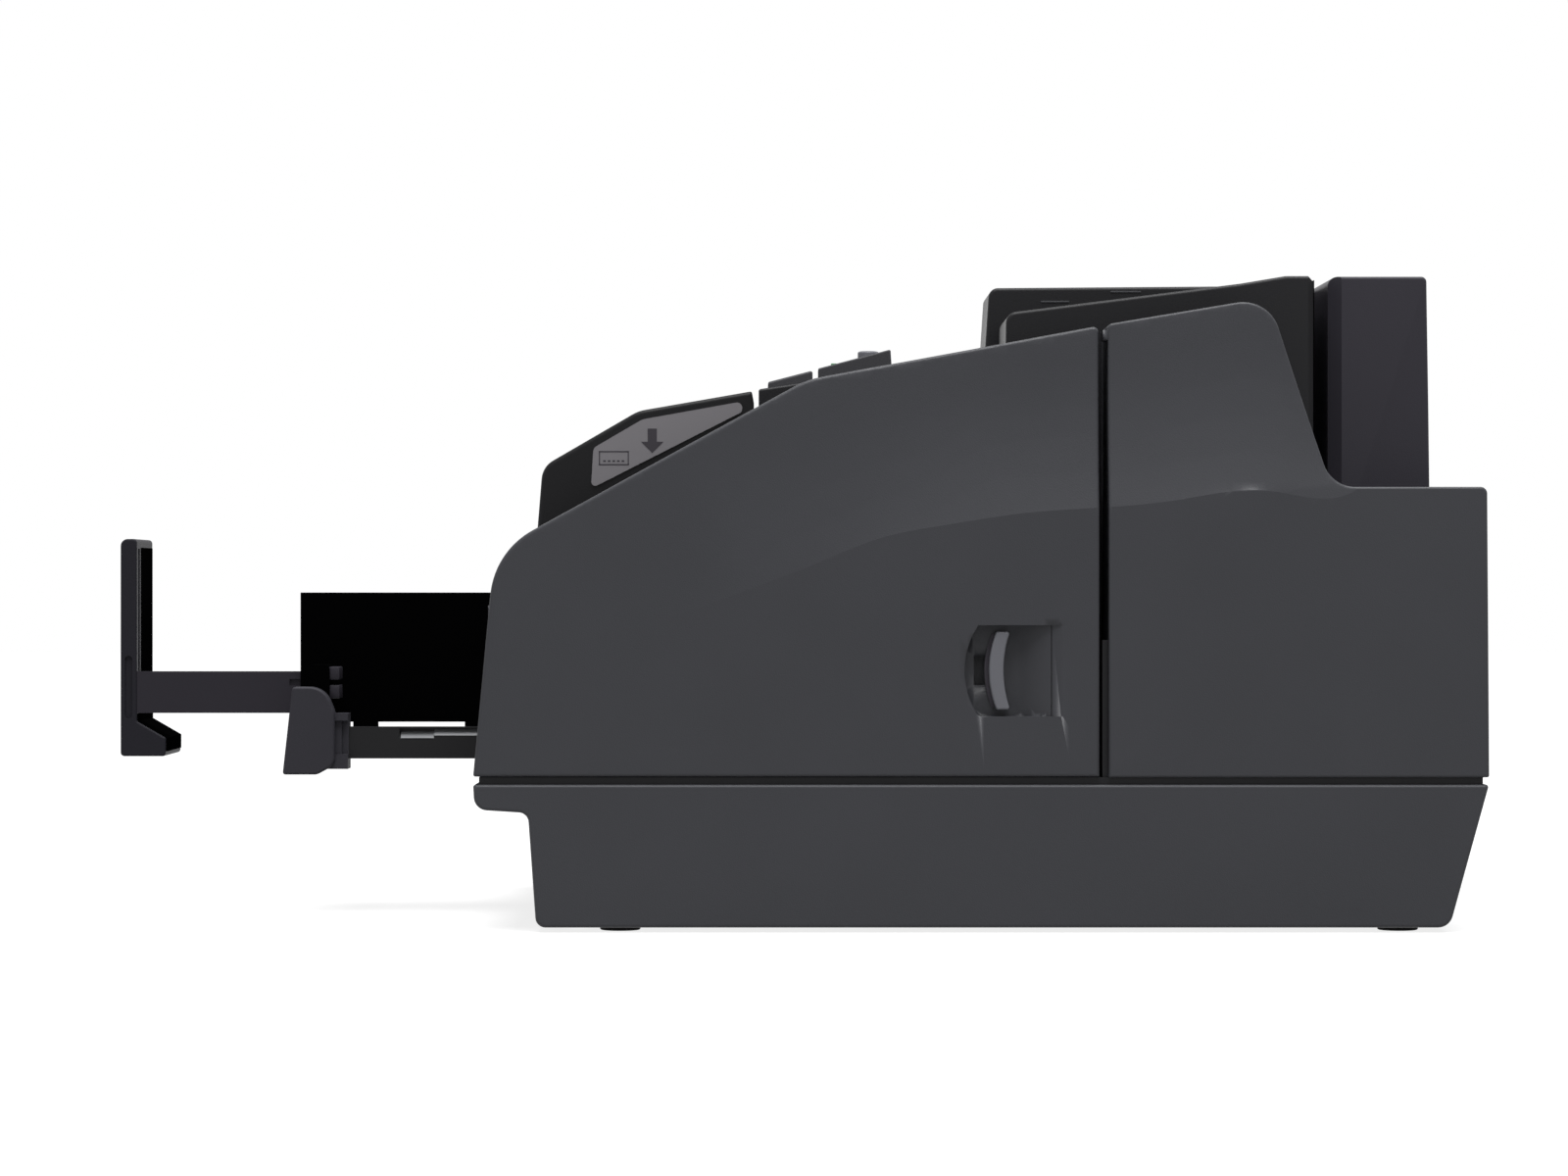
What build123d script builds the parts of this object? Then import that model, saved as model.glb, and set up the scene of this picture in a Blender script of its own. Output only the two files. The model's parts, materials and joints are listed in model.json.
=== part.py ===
from build123d import *
import os
from math import radians, tan

os.makedirs("parts", exist_ok=True)

# A desktop cheque scanner.  Cheques stand on edge in a hopper at the right, run
# rearward between the hinged side cover and the centre blocks, turn through the
# slot at the rear and come forward again into one of two pockets at the front.
# X runs across the machine (right is +X), Y from front to rear, Z up; the feet
# stand on Z = 0.  All sizes are in millimetres.

# ---------------------------------------------------------------- overall sizes
body_width = 214.0
body_length = 298.3
stopper_reach = 115.7        # the long stopper, pulled out, stands this far ahead of the body
foot_height = 1.5
base_top = 43.5              # upper edge of the lower case
seam = 2.3                   # shadow line between lower case and covers
seam_inset = 1.7             # how far the deck edge sits back inside that line
block_top = 195.5            # centre and rear blocks
wall = 2.4                   # moulded wall thickness
edge_round = 1.0             # softened outer edges

# ---------------------------------------------------------------- clearances
fit = 0.3                    # between parts that move past each other
seat = 0.1                   # between fixed parts that sit side by side
running = 0.05               # radial play of a pin or shaft in its bearing

# ---------------------------------------------------------------- side covers
cover_length = 183.9         # hinged cover, along Y at its foot
cover_gap = 2.7              # open line between the hinged and the fixed cover
front_lean = 5.42            # degrees
slope_angle = 28.8           # degrees, long slope over the hopper
top_angle = 10.5             # degrees, upper slope
brow_height = 112.0          # where the front edge would meet the slope
brow_radius = 24.0
shoulder_station = 98.1      # where the slope eases, measured from the front
shoulder_radius = 27.0
crest_station = 234.0        # where the fixed cover starts to fall to the shelf
crest_height = 186.8
crest_radius = 11.0
shelf_station = 252.1
shelf_height = 130.9
shelf_radius = 9.5
scoop_depth = 5.0            # the hollowed band along the top of both covers
scoop_height = 75.0

# ---------------------------------------------------------------- paper path
floor_height = 61.0          # cheques stand on this
guide_height = shelf_height - 0.4
lane_width = 5.5
feed_lane_x = body_width / 2 - 39.0
return_lane_x = feed_lane_x - 52.0
lane_rear_station = 254.1    # middle of the lane that crosses at the rear
turn_radius = 26.0
guide_thickness = 2.0
hopper_width = 21.5
island_face = feed_lane_x - 10.5     # X of the hopper's inner wall
island_width = 15.5
hopper_end_station = 106.6   # here the hopper begins to narrow to the lane
lane_start_station = 136.3

# ---------------------------------------------------------------- rollers
roller_low = 75.0
roller_high = 115.0
drive_radius = 8.85
feed_radius = 9.85
pickup_radius = 10.0
pinch_radius = 4.85
retard_radius = 7.7
nip_play = 0.15              # half of the gap left between two facing rollers
shaft_radius = 2.0
hub_radius = 3.0
pulley_radius = 6.5
pulley_low = 22.0
pulley_high = 32.0
belt_thickness = 1.3
web_low = 136.0              # upper bearing plates of the roller shafts
hub_top = 121.0
web_thickness = 3.0
bush_radius = 3.2

# ---------------------------------------------------------------- pockets
divider_right = return_lane_x + 3.5  # X of the black divider's right face
divider_width = 5.0
divider_top = 99.8
tray_thickness = 1.5
tray_reach = 59.4            # tray ahead of the body
pocket_left = divider_right - 38.0
stopper_width = 36.7
stopper_right = divider_right - 1.2
stopper_thickness = 5.1
stopper_top = 116.5
stopper_bottom = 48.7
arm_thickness = 2.0
long_arm_low = 62.2
long_arm_high = 75.2
long_arm_length = 138.0
long_travel = 48.0
short_arm_low = 48.6
short_arm_high = 58.4

# ---------------------------------------------------------------- derived places
right = body_width / 2
left = -right
front = (stopper_reach - body_length) / 2
rear = front + body_length
cover_z = base_top + seam
deck_top = cover_z - seat * 2
deck_low = base_top - 3.5
lane_right = feed_lane_x + lane_width / 2
lane_left = feed_lane_x - lane_width / 2
back_right = return_lane_x + lane_width / 2
back_left = return_lane_x - lane_width / 2
slot_front = front + lane_rear_station - lane_width / 2
slot_rear = front + lane_rear_station + lane_width / 2
cover_end = front + cover_length
fixed_start = cover_end + cover_gap
web_high = web_low + web_thickness
hopper_right = island_face + hopper_width


def at(station):
    """Y of a station measured rearward from the body's front edge."""
    return front + station


def outline(plane, corners, inset=0.0):
    """Closed face on a plane from (u, v, corner radius) triples."""
    with BuildSketch(plane) as face:
        with BuildLine():
            FilletPolyline(*[(u, v) for u, v, _ in corners],
                           radius=[r for _, _, r in corners], close=True)
        make_face()
        if inset:
            offset(amount=-inset, kind=Kind.INTERSECTION)
    return face.sketch


def side_profile(x, corners, inset=0.0):
    """Face in the side view, at this X."""
    return outline(Plane.YZ.offset(x), corners, inset)


def plan(z, corners, inset=0.0):
    """Face in the plan view, at this height."""
    return outline(Plane.XY.offset(z), corners, inset)


def span(x, y, z, mode=Mode.ADD):
    """Box between two limits on each axis, added to or cut from the open part."""
    middle = tuple(sum(limits) / 2 for limits in (x, y, z))
    with Locations(middle):
        Box(x[1] - x[0], y[1] - y[0], z[1] - z[0], mode=mode)


def rod(x, y, z, radius, mode=Mode.ADD):
    """Upright cylinder between two heights."""
    with Locations((x, y, (z[0] + z[1]) / 2)):
        Cylinder(radius, z[1] - z[0], mode=mode)


# ================================================================ side outlines
lip_depth = 7.4              # the lower case's front lip
lip_reach = 16.1
base_front_foot = 18.5
base_rear_rake = 11.6
hinged_brow = brow_height - cover_z
brow_y = front + hinged_brow * tan(radians(front_lean))
shoulder_y = at(shoulder_station)
shoulder_z = brow_height + (shoulder_y - brow_y) * tan(radians(slope_angle))


def top_line(y):
    """Height of the covers' upper slope."""
    return shoulder_z + (y - shoulder_y) * tan(radians(top_angle))


base_corners = [
    (front, base_top, 0.8), (front + 0.4, base_top - lip_depth, 4.0),
    (front + lip_reach, base_top - lip_depth - 1.0, 3.0),
    (front + base_front_foot, foot_height, 3.0),
    (rear - base_rear_rake, foot_height, 4.5), (rear, base_top, 0.8)]
hinged_corners = [
    (front, cover_z, 0.6), (brow_y, brow_height, brow_radius),
    (shoulder_y, shoulder_z, shoulder_radius),
    (cover_end, top_line(cover_end), 1.6), (cover_end, cover_z, 0.0)]
fixed_corners = [
    (fixed_start, deck_top, 0.0), (fixed_start, top_line(fixed_start), 1.6),
    (at(crest_station), crest_height, crest_radius),
    (at(shelf_station), shelf_height, shelf_radius),
    (rear - 0.6, shelf_height, 2.0), (rear, deck_top, 0.6)]

# ================================================================ the scoop
# A band hollowed out of both covers above a crease.  Each section is an arc that
# leaves the side of the machine at the crease and is upright again higher up.
scoop_start = 44.0           # station where the hollow begins to show
scoop_full = 175.0           # station where it reaches its full depth
scoop_skim = 0.1             # depth ahead of its visible start
scoop_stations = [-6, 10, 27, 44, 60, 80, 100, 120, 140, 160, 180, 207, 234, 262]
crease = [(-6.0, 65.5), (44.0, 87.5), (87.3, 103.0), (122.6, 117.0), (157.7, 122.8),
          (186.0, 125.0), (262.0, 132.4)]


def crease_height(station):
    """Height of the crease, read off between its points."""
    for (s0, z0), (s1, z1) in zip(crease, crease[1:]):
        if station <= s1:
            return z0 + (z1 - z0) * (station - s0) / (s1 - s0)


with BuildPart() as scoop:
    for station in scoop_stations:
        ease = min(max((station - scoop_start) / (scoop_full - scoop_start), 0), 1)
        depth = scoop_skim + (scoop_depth - scoop_skim) * ease * ease * (3 - 2 * ease)
        crease_z = crease_height(station)
        with BuildSketch(Plane.XZ.offset(-at(station))):
            with BuildLine():
                upper = (right - depth, crease_z + scoop_height)
                arc = TangentArc(upper, (right, crease_z), tangent=(0, -1))
                Polyline((right, crease_z), (right + 6, crease_z),
                         (right + 6, crease_z + scoop_height + 20),
                         (right - depth, crease_z + scoop_height + 20), upper)
            make_face()
    loft()

# ================================================================ lower case
post_stations = (30.0, 275.0)
post_x = right - 18.0
foot_radius = 6.0
foot_stations = (42.8, 273.1)
foot_x = right - 14.0
pocket_floor = foot_height + 2.5
inner_front = front + base_front_foot + wall
port_low = 10.2
port_high = 21.5
inlet_x = -body_width / 2 + 47.0
data_x = inlet_x + 30.0
port_spots = ((inlet_x, 13.0), (data_x, 12.4))      # X and width of inlet and data port
port_face = rear - base_rear_rake + 3.0
with BuildPart() as base_shell:
    extrude(side_profile(left, base_corners), amount=body_width)
    side_edges = base_shell.faces().sort_by(Axis.X)[-1].edges() + \
        base_shell.faces().sort_by(Axis.X)[0].edges()
    fillet([e for e in side_edges if e.center().Z < base_top - 1], edge_round)
    inner = [(inner_front, pocket_floor, 0), (rear - base_rear_rake - wall, pocket_floor, 0),
             (rear - wall - 1.2, deck_low + 4.5, 0), (inner_front - 1.5, deck_low + 4.5, 0)]
    extrude(side_profile(left + wall, inner), amount=body_width - 2 * wall, mode=Mode.SUBTRACT)
    rim = seam_inset - fit
    span((left + rim, right - rim), (front + rim, rear - rim), (deck_low, base_top + 1),
         mode=Mode.SUBTRACT)
    for x in (-post_x, post_x):
        for station in post_stations:
            rod(x, at(station), (pocket_floor, deck_low), 4.0)
            rod(x, at(station), (foot_height, deck_low), 1.6, mode=Mode.SUBTRACT)
            rod(x, at(station), (foot_height, foot_height + 2.2), 3.4, mode=Mode.SUBTRACT)
    for x, width in port_spots:
        span((x - width / 2 - seat, x + width / 2 + seat), (port_face - 9, rear + 1),
             (port_low - seat, port_high + seat), mode=Mode.SUBTRACT)

with BuildPart() as rubber_feet:
    for x in (-foot_x, foot_x):
        for station in foot_stations:
            rod(x, at(station), (0, foot_height), foot_radius)
    fillet(rubber_feet.faces().group_by(Axis.Z)[0].edges(), 0.5)

with BuildPart() as base_screws:
    for x in (-post_x, post_x):
        for station in post_stations:
            rod(x, at(station), (foot_height + 0.4, foot_height + 2.2), 3.0)
            rod(x, at(station), (foot_height + 2.2, deck_low + 3), 1.5)

# ================================================================ deck
motor_x = back_right + 6.25
motor_station = 111.3
drive_spots = {                                   # X and station of the driven shafts
    "pickup_roller": (island_face + 1.5 - pickup_radius, 96.3, pickup_radius),
    "feed_roller": (feed_lane_x - nip_play - feed_radius, 131.3, feed_radius),
    "drive_roller_1": (feed_lane_x - nip_play - drive_radius, 176.3, drive_radius),
    "drive_roller_2": (feed_lane_x - nip_play - drive_radius, 219.3, drive_radius),
    "drive_roller_3": (return_lane_x + nip_play + drive_radius, 219.3, drive_radius),
    "drive_roller_4": (return_lane_x + nip_play + drive_radius, 171.3, drive_radius)}
pinch_spots = {                                   # X, station, radius, side of the lane
    "retard_roller": (feed_lane_x + nip_play + retard_radius, 131.3, retard_radius),
    "pinch_roller_1": (feed_lane_x + nip_play + pinch_radius, 176.3, pinch_radius),
    "pinch_roller_2": (feed_lane_x + nip_play + pinch_radius, 219.3, pinch_radius),
    "pinch_roller_3": (return_lane_x - nip_play - pinch_radius, 219.3, pinch_radius),
    "pinch_roller_4": (return_lane_x - nip_play - pinch_radius, 171.3, pinch_radius)}
hinge_x = right - 19.0
hinge_y = at(9.0)
hinge_radius = 3.0
knuckle_radius = 5.5
knuckle_low = 52.0
knuckle_height = 8.0
upper_knuckle = 88.0
gate_x = divider_right - divider_width / 2
gate_y = at(125.3)
arm_x = divider_right + 13.5
arm_width = 4.0
sub_left = divider_right + seat
sub_right = island_face - island_width - seat
lane_bed = lane_width - 2 * seat
bend = 8.0
hopper_bed = [
    (island_face + seat, at(13.3), 0), (hopper_right - seat, at(13.3), 0),
    (hopper_right - seat, at(hopper_end_station), 0),
    (lane_right - seat, at(lane_start_station + 2), 0), (lane_right - seat, at(152), 0),
    (lane_left + seat, at(152), 0), (lane_left + seat, at(lane_start_station), bend),
    (island_face + seat, at(hopper_end_station), bend)]
with BuildPart() as chassis_deck:
    span((left + seam_inset, right - seam_inset), (front + seam_inset, rear - seam_inset),
         (deck_low, deck_top))
    # raised bed that the cheques stand on
    extrude(plan(deck_top, hopper_bed), amount=floor_height - deck_top)
    with BuildSketch(Plane.XY.offset(deck_top)):
        with BuildLine():
            FilletPolyline(
                (feed_lane_x, at(150)), (feed_lane_x, at(lane_rear_station)),
                (return_lane_x, at(lane_rear_station)), (return_lane_x, at(152.5)),
                radius=turn_radius - (guide_thickness + lane_width) / 2)
        trace(line_width=lane_bed)
    extrude(amount=floor_height - deck_top)
    # bed of the long pocket, and the covered channel of the short pocket
    tray_low = floor_height - tray_thickness
    span((pocket_left - 1.5, divider_right), (at(3), at(149.5)), (deck_top, tray_low))
    span((sub_left, sub_right), (at(3), at(111)), (deck_top, floor_height))
    span((arm_x - arm_width / 2 - fit, arm_x + arm_width / 2 + fit), (at(0), at(70)),
         (deck_top + 0.2, short_arm_high + fit), mode=Mode.SUBTRACT)
    # hinge boss, and holes for shafts, screws and the gate pin
    rod(hinge_x, hinge_y, (deck_top, knuckle_low - fit), knuckle_radius)
    rod(hinge_x, hinge_y, (deck_low, knuckle_low), hinge_radius + 0.02, mode=Mode.SUBTRACT)
    for x, station, _ in drive_spots.values():
        rod(x, at(station), (deck_low, deck_top), bush_radius + 0.02, mode=Mode.SUBTRACT)
    for x in (-post_x, post_x):
        for station in post_stations:
            rod(x, at(station), (deck_low, deck_low + 4), 1.55, mode=Mode.SUBTRACT)

with BuildPart() as shaft_bushes:
    for x, station, _ in drive_spots.values():
        rod(x, at(station), (deck_low - 1, deck_top), bush_radius)
        rod(x, at(station), (deck_low - 1, deck_top), shaft_radius + running, mode=Mode.SUBTRACT)
        rod(x, at(station), (web_high, web_high + 2), bush_radius)
        rod(x, at(station), (web_high, web_high + 2), shaft_radius + running, mode=Mode.SUBTRACT)


# ================================================================ rollers
def driven_roller(name):
    """Shaft with a belt pulley below the deck and two tyres in the lane."""
    x, station, radius = drive_spots[name]
    y = at(station)
    middle = (roller_low + roller_high) / 2
    with BuildPart() as roller:
        rod(x, y, (pulley_low - 2, web_high + 2), shaft_radius)
        rod(x, y, (pulley_low, pulley_high), pulley_radius)
        rod(x, y, (deck_top + 0.5, hub_top), hub_radius)
        for low, high in ((roller_low, middle - 4), (middle + 4, roller_high)):
            rod(x, y, (low, high), radius)
    return roller


def idle_roller(name):
    """Short free roller on stub axles."""
    x, station, radius = pinch_spots[name]
    y = at(station)
    with BuildPart() as roller:
        rod(x, y, (roller_low, roller_high), radius)
        rod(x, y, (roller_low - 2.2, roller_high + 2.2), 1.2)
    return roller


def roller_window(x, station, radius, mode=Mode.SUBTRACT):
    """Opening in a guide wall that a roller reaches through."""
    reach = radius + 1.0
    span((x - reach, x + reach), (at(station) - reach, at(station) + reach),
         (roller_low - 0.6, roller_high + 0.6), mode=mode)


def roller_ears(name, wall_x, side):
    """Two bearing plates that hold an idle roller behind a guide wall."""
    x, station, radius = pinch_spots[name]
    y = at(station)
    tip = x + side * 3.2
    for low in (roller_low - 2.3, roller_high + 0.8):
        span((min(wall_x, tip), max(wall_x, tip)), (y - radius - 1, y + radius + 1),
             (low, low + 1.5))
        rod(x, y, (low - 0.5, low + 2), 1.2 + running, mode=Mode.SUBTRACT)


driven = {name: driven_roller(name) for name in drive_spots}
idle = {name: idle_roller(name) for name in pinch_spots}

with BuildPart() as motor:
    rod(motor_x, at(motor_station), (pocket_floor, pulley_low - 3.2), 17.0)
    rod(motor_x, at(motor_station), (pulley_low - 3.2, pulley_low - 2.2), 8.0)
    fillet(motor.faces().group_by(Axis.Z)[0].edges(), 1.0)
with BuildPart() as motor_pulley:
    rod(motor_x, at(motor_station), (pulley_low - 2.0, pulley_high), pulley_radius)
    rod(motor_x, at(motor_station), (pulley_high, pulley_high + 3), shaft_radius)


def belt_loop(radius):
    """Face inside a band of this radius round all the pulleys."""
    spots = [(x, at(station)) for x, station, _ in drive_spots.values()]
    with BuildSketch(Plane.XY.offset(pulley_low + 1)) as loop:
        with Locations(*spots, (motor_x, at(motor_station))):
            Circle(radius)
        make_hull()
    return loop.sketch


with BuildPart() as drive_belt:
    belt_height = pulley_high - pulley_low - 2
    extrude(belt_loop(pulley_radius + fit + belt_thickness), amount=belt_height)
    extrude(belt_loop(pulley_radius + fit), amount=belt_height, mode=Mode.SUBTRACT)

# ================================================================ electronics in the base
board_left = left + 29.0
board_right = return_lane_x - 14.0
board_low = pocket_floor + 4.0
with BuildPart() as main_board:
    span((board_left, board_right), (at(70), port_face - 7), (board_low, board_low + 1.6))
    for x in (board_left + 6, board_right - 6):
        for y in (at(80), port_face - 16):
            rod(x, y, (pocket_floor, board_low), 3.0)
    for x, station, width, height in ((inlet_x - 10, 110, 14, 3), (data_x - 5, 100, 22, 2.4),
                                      (data_x - 10, 160, 16, 9)):
        span((x - width / 2, x + width / 2), (at(station) - 7, at(station) + 7),
             (board_low + 1.6, board_low + 1.6 + height))


def port_body(index, depth):
    """Housing of a rear connector, standing on the main board."""
    x, width = port_spots[index]
    return ((x - width / 2, x + width / 2), (port_face - depth, port_face),
            (port_low, port_high))


board_top = board_low + 1.6
with BuildPart() as dc_inlet:
    span(*port_body(0, 13.0))
    span((inlet_x - 4, inlet_x + 4), (port_face - 12, port_face - 8), (board_top, port_low))
    middle = (port_low + port_high) / 2
    with Locations(Plane((port_spots[0][0], port_face, middle), z_dir=(0, 1, 0))):
        CounterBoreHole(1.6, 4.2, 8.0, depth=9.0)
        with Locations((0, 0, -5.0)):
            Cylinder(1.2, 8.0)
with BuildPart() as usb_port:
    span(*port_body(1, 15.0))
    span((data_x - 4, data_x + 4), (port_face - 14, port_face - 8), (board_top, port_low))
    span((data_x - 4.2, data_x + 4.2), (port_face - 9, port_face + 1),
         (port_low + 1.6, port_high - 1.6),
         mode=Mode.SUBTRACT)
    span((data_x - 2.8, data_x + 2.8), (port_face - 9, port_face - 1.5),
         (middle - 1.5, middle + 1.5))

# ================================================================ hinged side cover
cover_back = right - 25.0
skin_high = right - scoop_depth - wall          # inner side of the skin behind the scoop
skin_low = right - wall
open_top = guide_height - 1.5
lever_station = 151.5
lever_z = 76.9
lever_half = 11.5
recess_station = 144.3
recess_line = 170.0
recess_end = 173.8
recess_half = 13.4
recess_depth = 6.0
recess_corner = 2.2
recess_seam = 0.35           # fine groove where the finger ramp meets the surround
plate_thickness = 0.8        # dark plate that slides with the lever and hides its slot
latch_travel = 5.0
slider_low = skin_high - 6.4
slider_high = slider_low + 2.5
block_back = slider_high + fit


def hollow_cover(corners, back):
    """Inside of a cover: shallow above the crease, deep below it, open to the lane."""
    depth = skin_high - back - wall
    extrude(side_profile(back + wall, corners, inset=wall), amount=depth, mode=Mode.SUBTRACT)
    low_band = side_profile(back, corners, inset=wall)
    with BuildPart(mode=Mode.PRIVATE) as low_room:
        extrude(low_band, amount=skin_low - back)
        span((back - 1, skin_low), (front, rear), (floor_height + 26, block_top),
             mode=Mode.SUBTRACT)
    add(low_room.part, mode=Mode.SUBTRACT)
    with BuildPart(mode=Mode.PRIVATE) as mouth:
        extrude(low_band, amount=wall + 1)
        span((back - 1, skin_low), (front, rear), (open_top, block_top), mode=Mode.SUBTRACT)
    add(mouth.part, mode=Mode.SUBTRACT)


def soften_outside(part, radius):
    """Round the outer rim of a cover, but not the crease."""
    outer = [f for f in part.faces() if f.normal_at(None).X > 0.7]
    rims = ShapeList()
    for face in outer:
        rims += face.edges()
    shared = [e for e in rims if sum(e.is_same(other) for other in rims) > 1]
    keep = [e for e in rims if not any(e.is_same(s) for s in shared)]
    fillet([e for e in keep if e.center().Z > cover_z + 0.5], radius)


with BuildPart() as recess:
    with BuildSketch(Plane.XY.offset(lever_z - recess_half)):
        with BuildLine():
            base = right - recess_depth
            Polyline((right + 1, at(recess_station - 1)), (base, at(recess_station - 1)),
                     (base, at(lever_station + 5)))
            Spline((base, at(lever_station + 5)), (base + 2.0, at(lever_station + 12)),
                   (right - 0.9, at(recess_line)), tangents=((0, 1), (0.25, 1)))
            Polyline((right - 0.9, at(recess_line)), (right + 0.2, at(recess_end)),
                     (right + 1, at(recess_end)), (right + 1, at(recess_station - 1)))
        make_face()
    extrude(amount=2 * recess_half)
    with BuildSketch(Plane.YZ.offset(right - recess_depth - 1)) as recess_plan:
        with BuildLine():
            low_left = (at(recess_station + 4), lever_z - recess_half)
            high_left = (at(recess_station + 4), lever_z + recess_half)
            ThreePointArc(low_left, (at(recess_station), lever_z), high_left)
            Polyline(high_left, (at(recess_end + 1), lever_z + recess_half),
                     (at(recess_end + 1), lever_z - recess_half), low_left)
        make_face()
        fillet(recess_plan.vertices().sort_by(Axis.Y)[:2], recess_corner)
    extrude(amount=recess_depth + 3, mode=Mode.INTERSECT)
    span((right - 1.7, right), (at(recess_line) - recess_seam, at(recess_line)),
         (lever_z - recess_half, lever_z + recess_half))

with BuildPart() as scanner_cover:
    extrude(side_profile(cover_back, hinged_corners), amount=right - cover_back)
    add(scoop.part, mode=Mode.SUBTRACT)
    soften_outside(scanner_cover, edge_round)
    hollow_cover(hinged_corners, cover_back)
    # hinge knuckles inside the front edge
    for low in (knuckle_low, upper_knuckle):
        rod(hinge_x, hinge_y, (low, low + knuckle_height), knuckle_radius)
        span((hinge_x - 3, hinge_x + 3), (front + 3.5, hinge_y), (low, low + knuckle_height))
    rod(hinge_x, hinge_y, (cover_z - 1, knuckle_low), knuckle_radius + 1, mode=Mode.SUBTRACT)
    rod(hinge_x, hinge_y, (knuckle_low, upper_knuckle + knuckle_height),
        hinge_radius + running, mode=Mode.SUBTRACT)
    # backing of the finger recess, with the slot for the lever's stem
    span((block_back, skin_low + 0.5), (at(recess_station - 3), at(recess_end + 3)),
         (lever_z - recess_half - 3, lever_z + recess_half + 3))
    add(recess.part, mode=Mode.SUBTRACT)
    stem = (at(lever_station + 1), at(lever_station + 4))
    span((block_back - 1, right), (stem[0] - latch_travel - fit, stem[1] + fit),
         (lever_z - 4 - fit, lever_z + 4 + fit), mode=Mode.SUBTRACT)
    # rails and rear window of the latch slider
    for z in (lever_z - 6.5 - fit, lever_z + 5 + fit):
        span((slider_low, block_back), (at(recess_station - 3), at(recess_end + 3)),
             (z, z + 1.5))
    span((slider_low - fit, slider_high + fit), (cover_end - wall - 1, cover_end + 1),
         (lever_z - 5 - fit, lever_z + 5 + fit), mode=Mode.SUBTRACT)

with BuildPart() as cover_hinge_shaft:
    rod(hinge_x, hinge_y, (deck_low + 0.5, upper_knuckle + knuckle_height), hinge_radius)
    fillet(cover_hinge_shaft.faces().sort_by(Axis.Z)[-1].edges(), 0.6)

plate_top = right - recess_depth + fit + plate_thickness
with BuildPart() as latch_plate:
    with BuildSketch(Plane.YZ.offset(plate_top - plate_thickness)):
        with BuildLine():
            plate_front = recess_station + latch_travel + 1
            plate_end = at(lever_station + 4)
            plate_half = recess_half - 2.6
            ThreePointArc((at(plate_front + 2.2), lever_z - plate_half), (at(plate_front), lever_z),
                          (at(plate_front + 2.2), lever_z + plate_half))
            Polyline((at(plate_front + 2.2), lever_z + plate_half),
                     (plate_end, lever_z + plate_half), (plate_end, lever_z - plate_half),
                     (at(plate_front + 2.2), lever_z - plate_half))
        make_face()
    extrude(amount=plate_thickness)
    span((plate_top - plate_thickness - 1, plate_top + 1), (stem[0] - seat, stem[1] + seat),
         (lever_z - 4 - seat, lever_z + 4 + seat), mode=Mode.SUBTRACT)

with BuildPart() as latch_lever:
    with BuildSketch(Plane.YZ.offset(plate_top)):
        with BuildLine():
            low_out = (at(lever_station + 2.2), lever_z - lever_half)
            high_out = (at(lever_station + 2.2), lever_z + lever_half)
            low_in = (at(lever_station + 6.2), lever_z - lever_half)
            high_in = (at(lever_station + 6.2), lever_z + lever_half)
            ThreePointArc(low_out, (at(lever_station), lever_z), high_out)
            Line(high_out, high_in)
            ThreePointArc(high_in, (at(lever_station + 4.3), lever_z), low_in)
            Line(low_in, low_out)
        make_face()
    extrude(amount=right - 0.95 - plate_top)
    fillet(latch_lever.edges().filter_by(Axis.X), 0.7)
    fillet(latch_lever.faces().sort_by(Axis.X)[-1].edges(), 0.6)
    span((slider_high, plate_top + 1), stem, (lever_z - 4, lever_z + 4))

with BuildPart() as latch_slider:
    span((slider_low, slider_high), (at(recess_station + 2), cover_end + 0.5),
         (lever_z - 5, lever_z + 5))
    fillet(latch_slider.edges().filter_by(Axis.X), 0.8)

# inner guide of the hinged cover: hopper wall, then the lane's outer wall
guide_mid = guide_thickness / 2
guide_route = [(hopper_right + guide_mid, at(16.5)),
               (hopper_right + guide_mid, at(hopper_end_station + 1)),
               (lane_right + guide_mid, at(lane_start_station + 2)),
               (lane_right + guide_mid, cover_end - 2), (cover_back, cover_end - 2)]
guide_ceiling = [(u, v, r) for u, v, r in hinged_corners]
pusher_x = hopper_right + 2.4
pusher_station = 62.0
pusher_length = 42.0
pusher_low = 74.3
pusher_high = 111.7
sensor_low = floor_height + 1.0
sensor_high = web_low - 2.0
front_sensor_station = 160.0
sensor_half = 6.0
micr_station = 148.0
micr_half = 3.5
with BuildPart() as scanner_inner_guide:
    with BuildSketch(Plane.XY.offset(floor_height + fit)):
        with BuildLine():
            FilletPolyline(*guide_route, radius=[6.0, 6.0, 0.0])
        trace(line_width=guide_thickness)
    extrude(amount=guide_height - floor_height - fit)
    extrude(side_profile(lane_left, hinged_corners, inset=1.0), amount=40, mode=Mode.INTERSECT)
    # pusher window and its pivot bosses
    span((hopper_right - 1, hopper_right + 4),
         (at(pusher_station) - 3.4, at(pusher_station + pusher_length) + 0.8),
         (pusher_low - fit, pusher_high + fit), mode=Mode.SUBTRACT)
    for low, high in ((pusher_low - 6, pusher_low - fit), (pusher_high + fit, pusher_high + 6)):
        rod(pusher_x, at(pusher_station), (low, high), 2.3)
        rod(pusher_x, at(pusher_station), (low, high), 1.2 + running, mode=Mode.SUBTRACT)
    for name in ("retard_roller", "pinch_roller_1"):
        x, station, radius = pinch_spots[name]
        roller_window(x, station, radius)
    roller_ears("retard_roller", hopper_right - 6.2, 1)
    roller_ears("pinch_roller_1", lane_right + 0.6, 1)
    span((lane_right - 1, cover_back), (at(front_sensor_station) - sensor_half - seat,
         at(front_sensor_station) + sensor_half + seat), (sensor_low, guide_height + 1),
         mode=Mode.SUBTRACT)
    span((lane_right - 1, cover_back - 2), (at(micr_station) - micr_half, at(micr_station) + micr_half),
         (64, 74), mode=Mode.SUBTRACT)

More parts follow.
